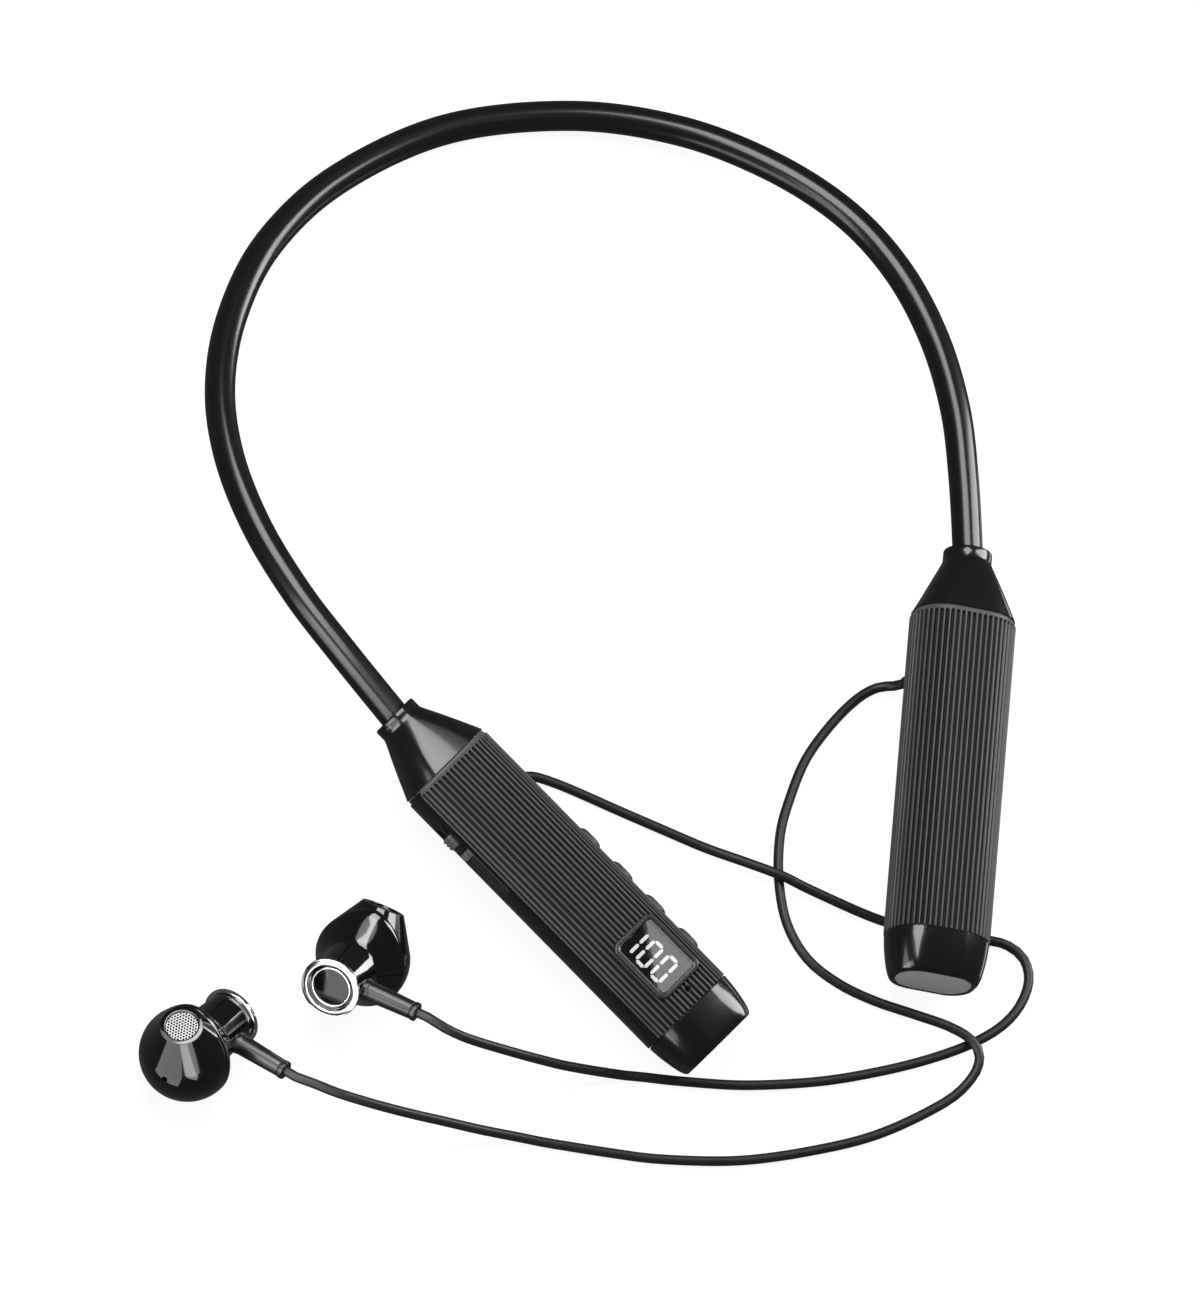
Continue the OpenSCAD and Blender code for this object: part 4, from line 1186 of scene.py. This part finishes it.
def makeBudEnd(side):
    f = barrel["face"]
    ring = rounded(
        [
            (4.35, f + 0.45), (4.35, f), (5.3, f), (5.45, f + 0.2), (5.45, f + 0.9), (4.35, f + 0.9),
            (4.35, f + 0.45),
        ],
        0.14, 3,
    )
    bm = lathe(ring[:-1], bulb["sides"], closed=True)
    addPiece(
        side + "-bud-end-ring", bm, bud[side], finish["chrome"], side + "_bud_end_ring",
    )
    thin = rounded(
        [
            (3.36, f + 0.1), (3.36, f - 0.36), (3.7, f - 0.36), (3.7, f + 0.5), (3.36, f + 0.5),
            (3.36, f + 0.1),
        ],
        0.12, 3,
    )
    bm = lathe(thin[:-1], bulb["sides"], closed=True)
    addPiece(
        side + "-bud-inner-ring", bm, bud[side], finish["chrome"], side + "_bud_inner_ring",
    )
    disc = [
        (0, f - 0.36), (3.33, f - 0.36), (3.33, f + 0.1), (3.22, f + 0.19), (2.4, f + 0.21),
        (1.2, f + 0.22), (0, f + 0.22),
    ]
    addPiece(
        side + "-bud-end-disc", lathe(disc, 64), bud[side], finish["pianoBlack"], side + "_bud_end_disc",
    )


def makeStem(side):
    root = barrel["radius"] - 0.9
    run = cord["stemReach"] - root
    profile = rounded([
        (0, 0), (1.95, 0), (1.95, 1.1), (1.82, 1.5), (1.6, run - 1.15), (1.46, run - 1.1), (1.46, run - 0.95),
        (1.7, run - 0.9), (1.7, run - 0.12), (1.5, run), (cord["diameter"] / 2 + 0.02, run),
        (cord["diameter"] / 2 + 0.02, run - 0.3), (0, run - 0.3),
    ], 0.1, 3)
    place = bud[side] @ Matrix.Translation((root, 0, cord["stemZ"])) @ turn(90, "Y")
    addPiece(
        side + "-bud-stem", lathe(profile, 48), place, finish["reliefGrey"], side + "_bud_stem",
    )


for side in ("left", "right"):
    makeBudFront(side)
    makeGrille(side)
    makeBudRear(side)
    makeBudEnd(side)
    makeStem(side)
print("earbuds made")


# floor and light
podAlong = {side: leg[side].to_3x3() @ Vector((0, 0, 1)) for side in leg}
cornerOut = {side: leg[side].to_3x3() @ Vector((-0.8, 0.6, 0)) for side in leg}
cornerMiddle = {side: toMetres @ leg[side] @ Vector((-8, 5.5, 40)) for side in leg}
windowOut = (leg["left"].to_3x3() @ Vector((0, 1, 0)), leg["left"].to_3x3() @ Vector((1, 0, 0)))
halfWide, halfLong = display["width"] / 2 - display["rim"], display["length"] / 2 - display["rim"]
diagonal = (podAlong["left"] * halfLong - windowOut[1] * halfWide).normalized()
crossways = (podAlong["left"] * halfWide + windowOut[1] * halfLong).normalized()
budMiddle = {side: toMetres @ bud[side] @ Vector((0, 0, bulbZ)) for side in bud}
ringMiddle = toMetres @ bud["left"] @ Vector((0, 0, barrel["face"]))
ringOut = bud["left"].to_3x3() @ Vector((0, 0, 1))

studio = {
    "floorSize": 6.0,
    "floorColour": 0.2,
    "floorGlow": 0.92,
    "world": 0.07,
    "lights": {
        "topBox": {"at": (-0.1, 0.25, 0.75), "size": (0.6, 0.4), "power": 4.5},
        "leftStrip": {"at": (-0.75, -0.1, 0.35), "size": (0.2, 0.8), "power": 1.6},
        "rightStrip": {"at": (0.7, 0.0, 0.4), "size": (0.25, 0.8), "power": 4.5},
    },
    "cards": {
        "windowCard": {
            "at": windowMiddle - windowOut[1] * 0.0011, "out": windowOut[0], "facing": windowOut[0],
            "long": diagonal, "aside": crossways * 0.0045, "size": (0.009, 0.024), "away": 0.3, "glow": 3.5,
        },
        "domeCard": {
            "at": budMiddle["right"], "out": towardCamera, "long": Vector((0, 1, 0)),
            "size": (0.12, 0.17), "away": 0.055, "glow": 1.6, "shape": "ELLIPSE",
        },
        "ringCard": {
            "at": ringMiddle, "out": ringOut, "long": Vector((0, 1, 0)),
            "size": (0.06, 0.06), "away": 0.09, "glow": 1.5,
        },
        "leftStripCard": {
            "at": cornerMiddle["left"], "out": cornerOut["left"], "long": podAlong["left"],
            "size": (0.02, 0.13), "away": 0.12, "glow": 2.5,
        },
        "rightStripCard": {
            "at": cornerMiddle["right"], "out": cornerOut["right"], "long": podAlong["right"],
            "size": (0.02, 0.13), "away": 0.12, "glow": 1.5,
        },
    },
}


def makeCard(name, c):
    # a bright card seen only as the reflection in the surface at c["at"], whose normal is c["out"]
    out = c["out"].normalized()
    toCamera = (bpy.context.scene.camera.matrix_world.translation - c["at"]).normalized()
    mirrored = 2 * out.dot(toCamera) * out - toCamera
    face = c.get("facing", mirrored)
    long = (c["long"] - c["long"].dot(face) * face).normalized()
    wide = long.cross(face)
    data = bpy.data.lights.new(name, "AREA")
    data.shape = c.get("shape", "RECTANGLE")
    data.size, data.size_y = c["size"]
    data.energy = c["glow"] * math.pi * c["size"][0] * c["size"][1]
    ob = bpy.data.objects.new(name, data)
    bpy.context.collection.objects.link(ob)
    ob.visible_camera = ob.visible_diffuse = False
    spot = c["at"] + mirrored * c["away"] + c.get("aside", Vector())
    ob.matrix_world = Matrix((
        (wide.x, long.x, face.x, spot.x),
        (wide.y, long.y, face.y, spot.y),
        (wide.z, long.z, face.z, spot.z),
        (0, 0, 0, 1),
    ))


def makeStudio(s):
    bpy.context.view_layer.update()
    bm = bmesh.new()
    h = s["floorSize"] / 2
    bm.faces.new([bm.verts.new((x, y, -0.00002)) for x, y in ((-h, -h), (h, -h), (h, h), (-h, h))])
    mesh = bpy.data.meshes.new("floor")
    bm.to_mesh(mesh)
    bm.free()
    floor = bpy.data.objects.new("floor", mesh)
    bpy.context.collection.objects.link(floor)
    f = Finish("floorPaper", Roughness=0.9, Specular_IOR_Level=0.0, Emission_Strength=s["floorGlow"])
    tone = f.noise(3, 2)
    f.set(
        Base_Color=f.blend(tone, grey(s["floorColour"]), grey(s["floorColour"] * 1.03)),
        Emission_Color=f.blend(tone, grey(0.98), grey(1.0)),
    )
    mesh.materials.append(f.material)
    floor.visible_glossy = False
    world = bpy.data.worlds.new("studio")
    bpy.context.scene.world = world
    world.use_nodes = True
    world.node_tree.nodes["Background"].inputs[0].default_value = (*grey(s["world"]), 1)
    middle = Vector((0.0, -0.01, 0.0))
    for name, light in s["lights"].items():
        data = bpy.data.lights.new(name, "AREA")
        data.shape = "RECTANGLE"
        data.size, data.size_y = light["size"]
        data.energy = light["power"]
        ob = bpy.data.objects.new(name, data)
        bpy.context.collection.objects.link(ob)
        ob.location = light["at"]
        ob.rotation_mode = "QUATERNION"
        ob.rotation_quaternion = (Vector(light["at"]) - middle).to_track_quat("Z", "Y")
    for name, c in s["cards"].items():
        makeCard(name, c)
    scene = bpy.context.scene
    scene.view_settings.view_transform = "Standard"
    scene.view_settings.look = "None"


makeStudio(studio)
print("studio made")
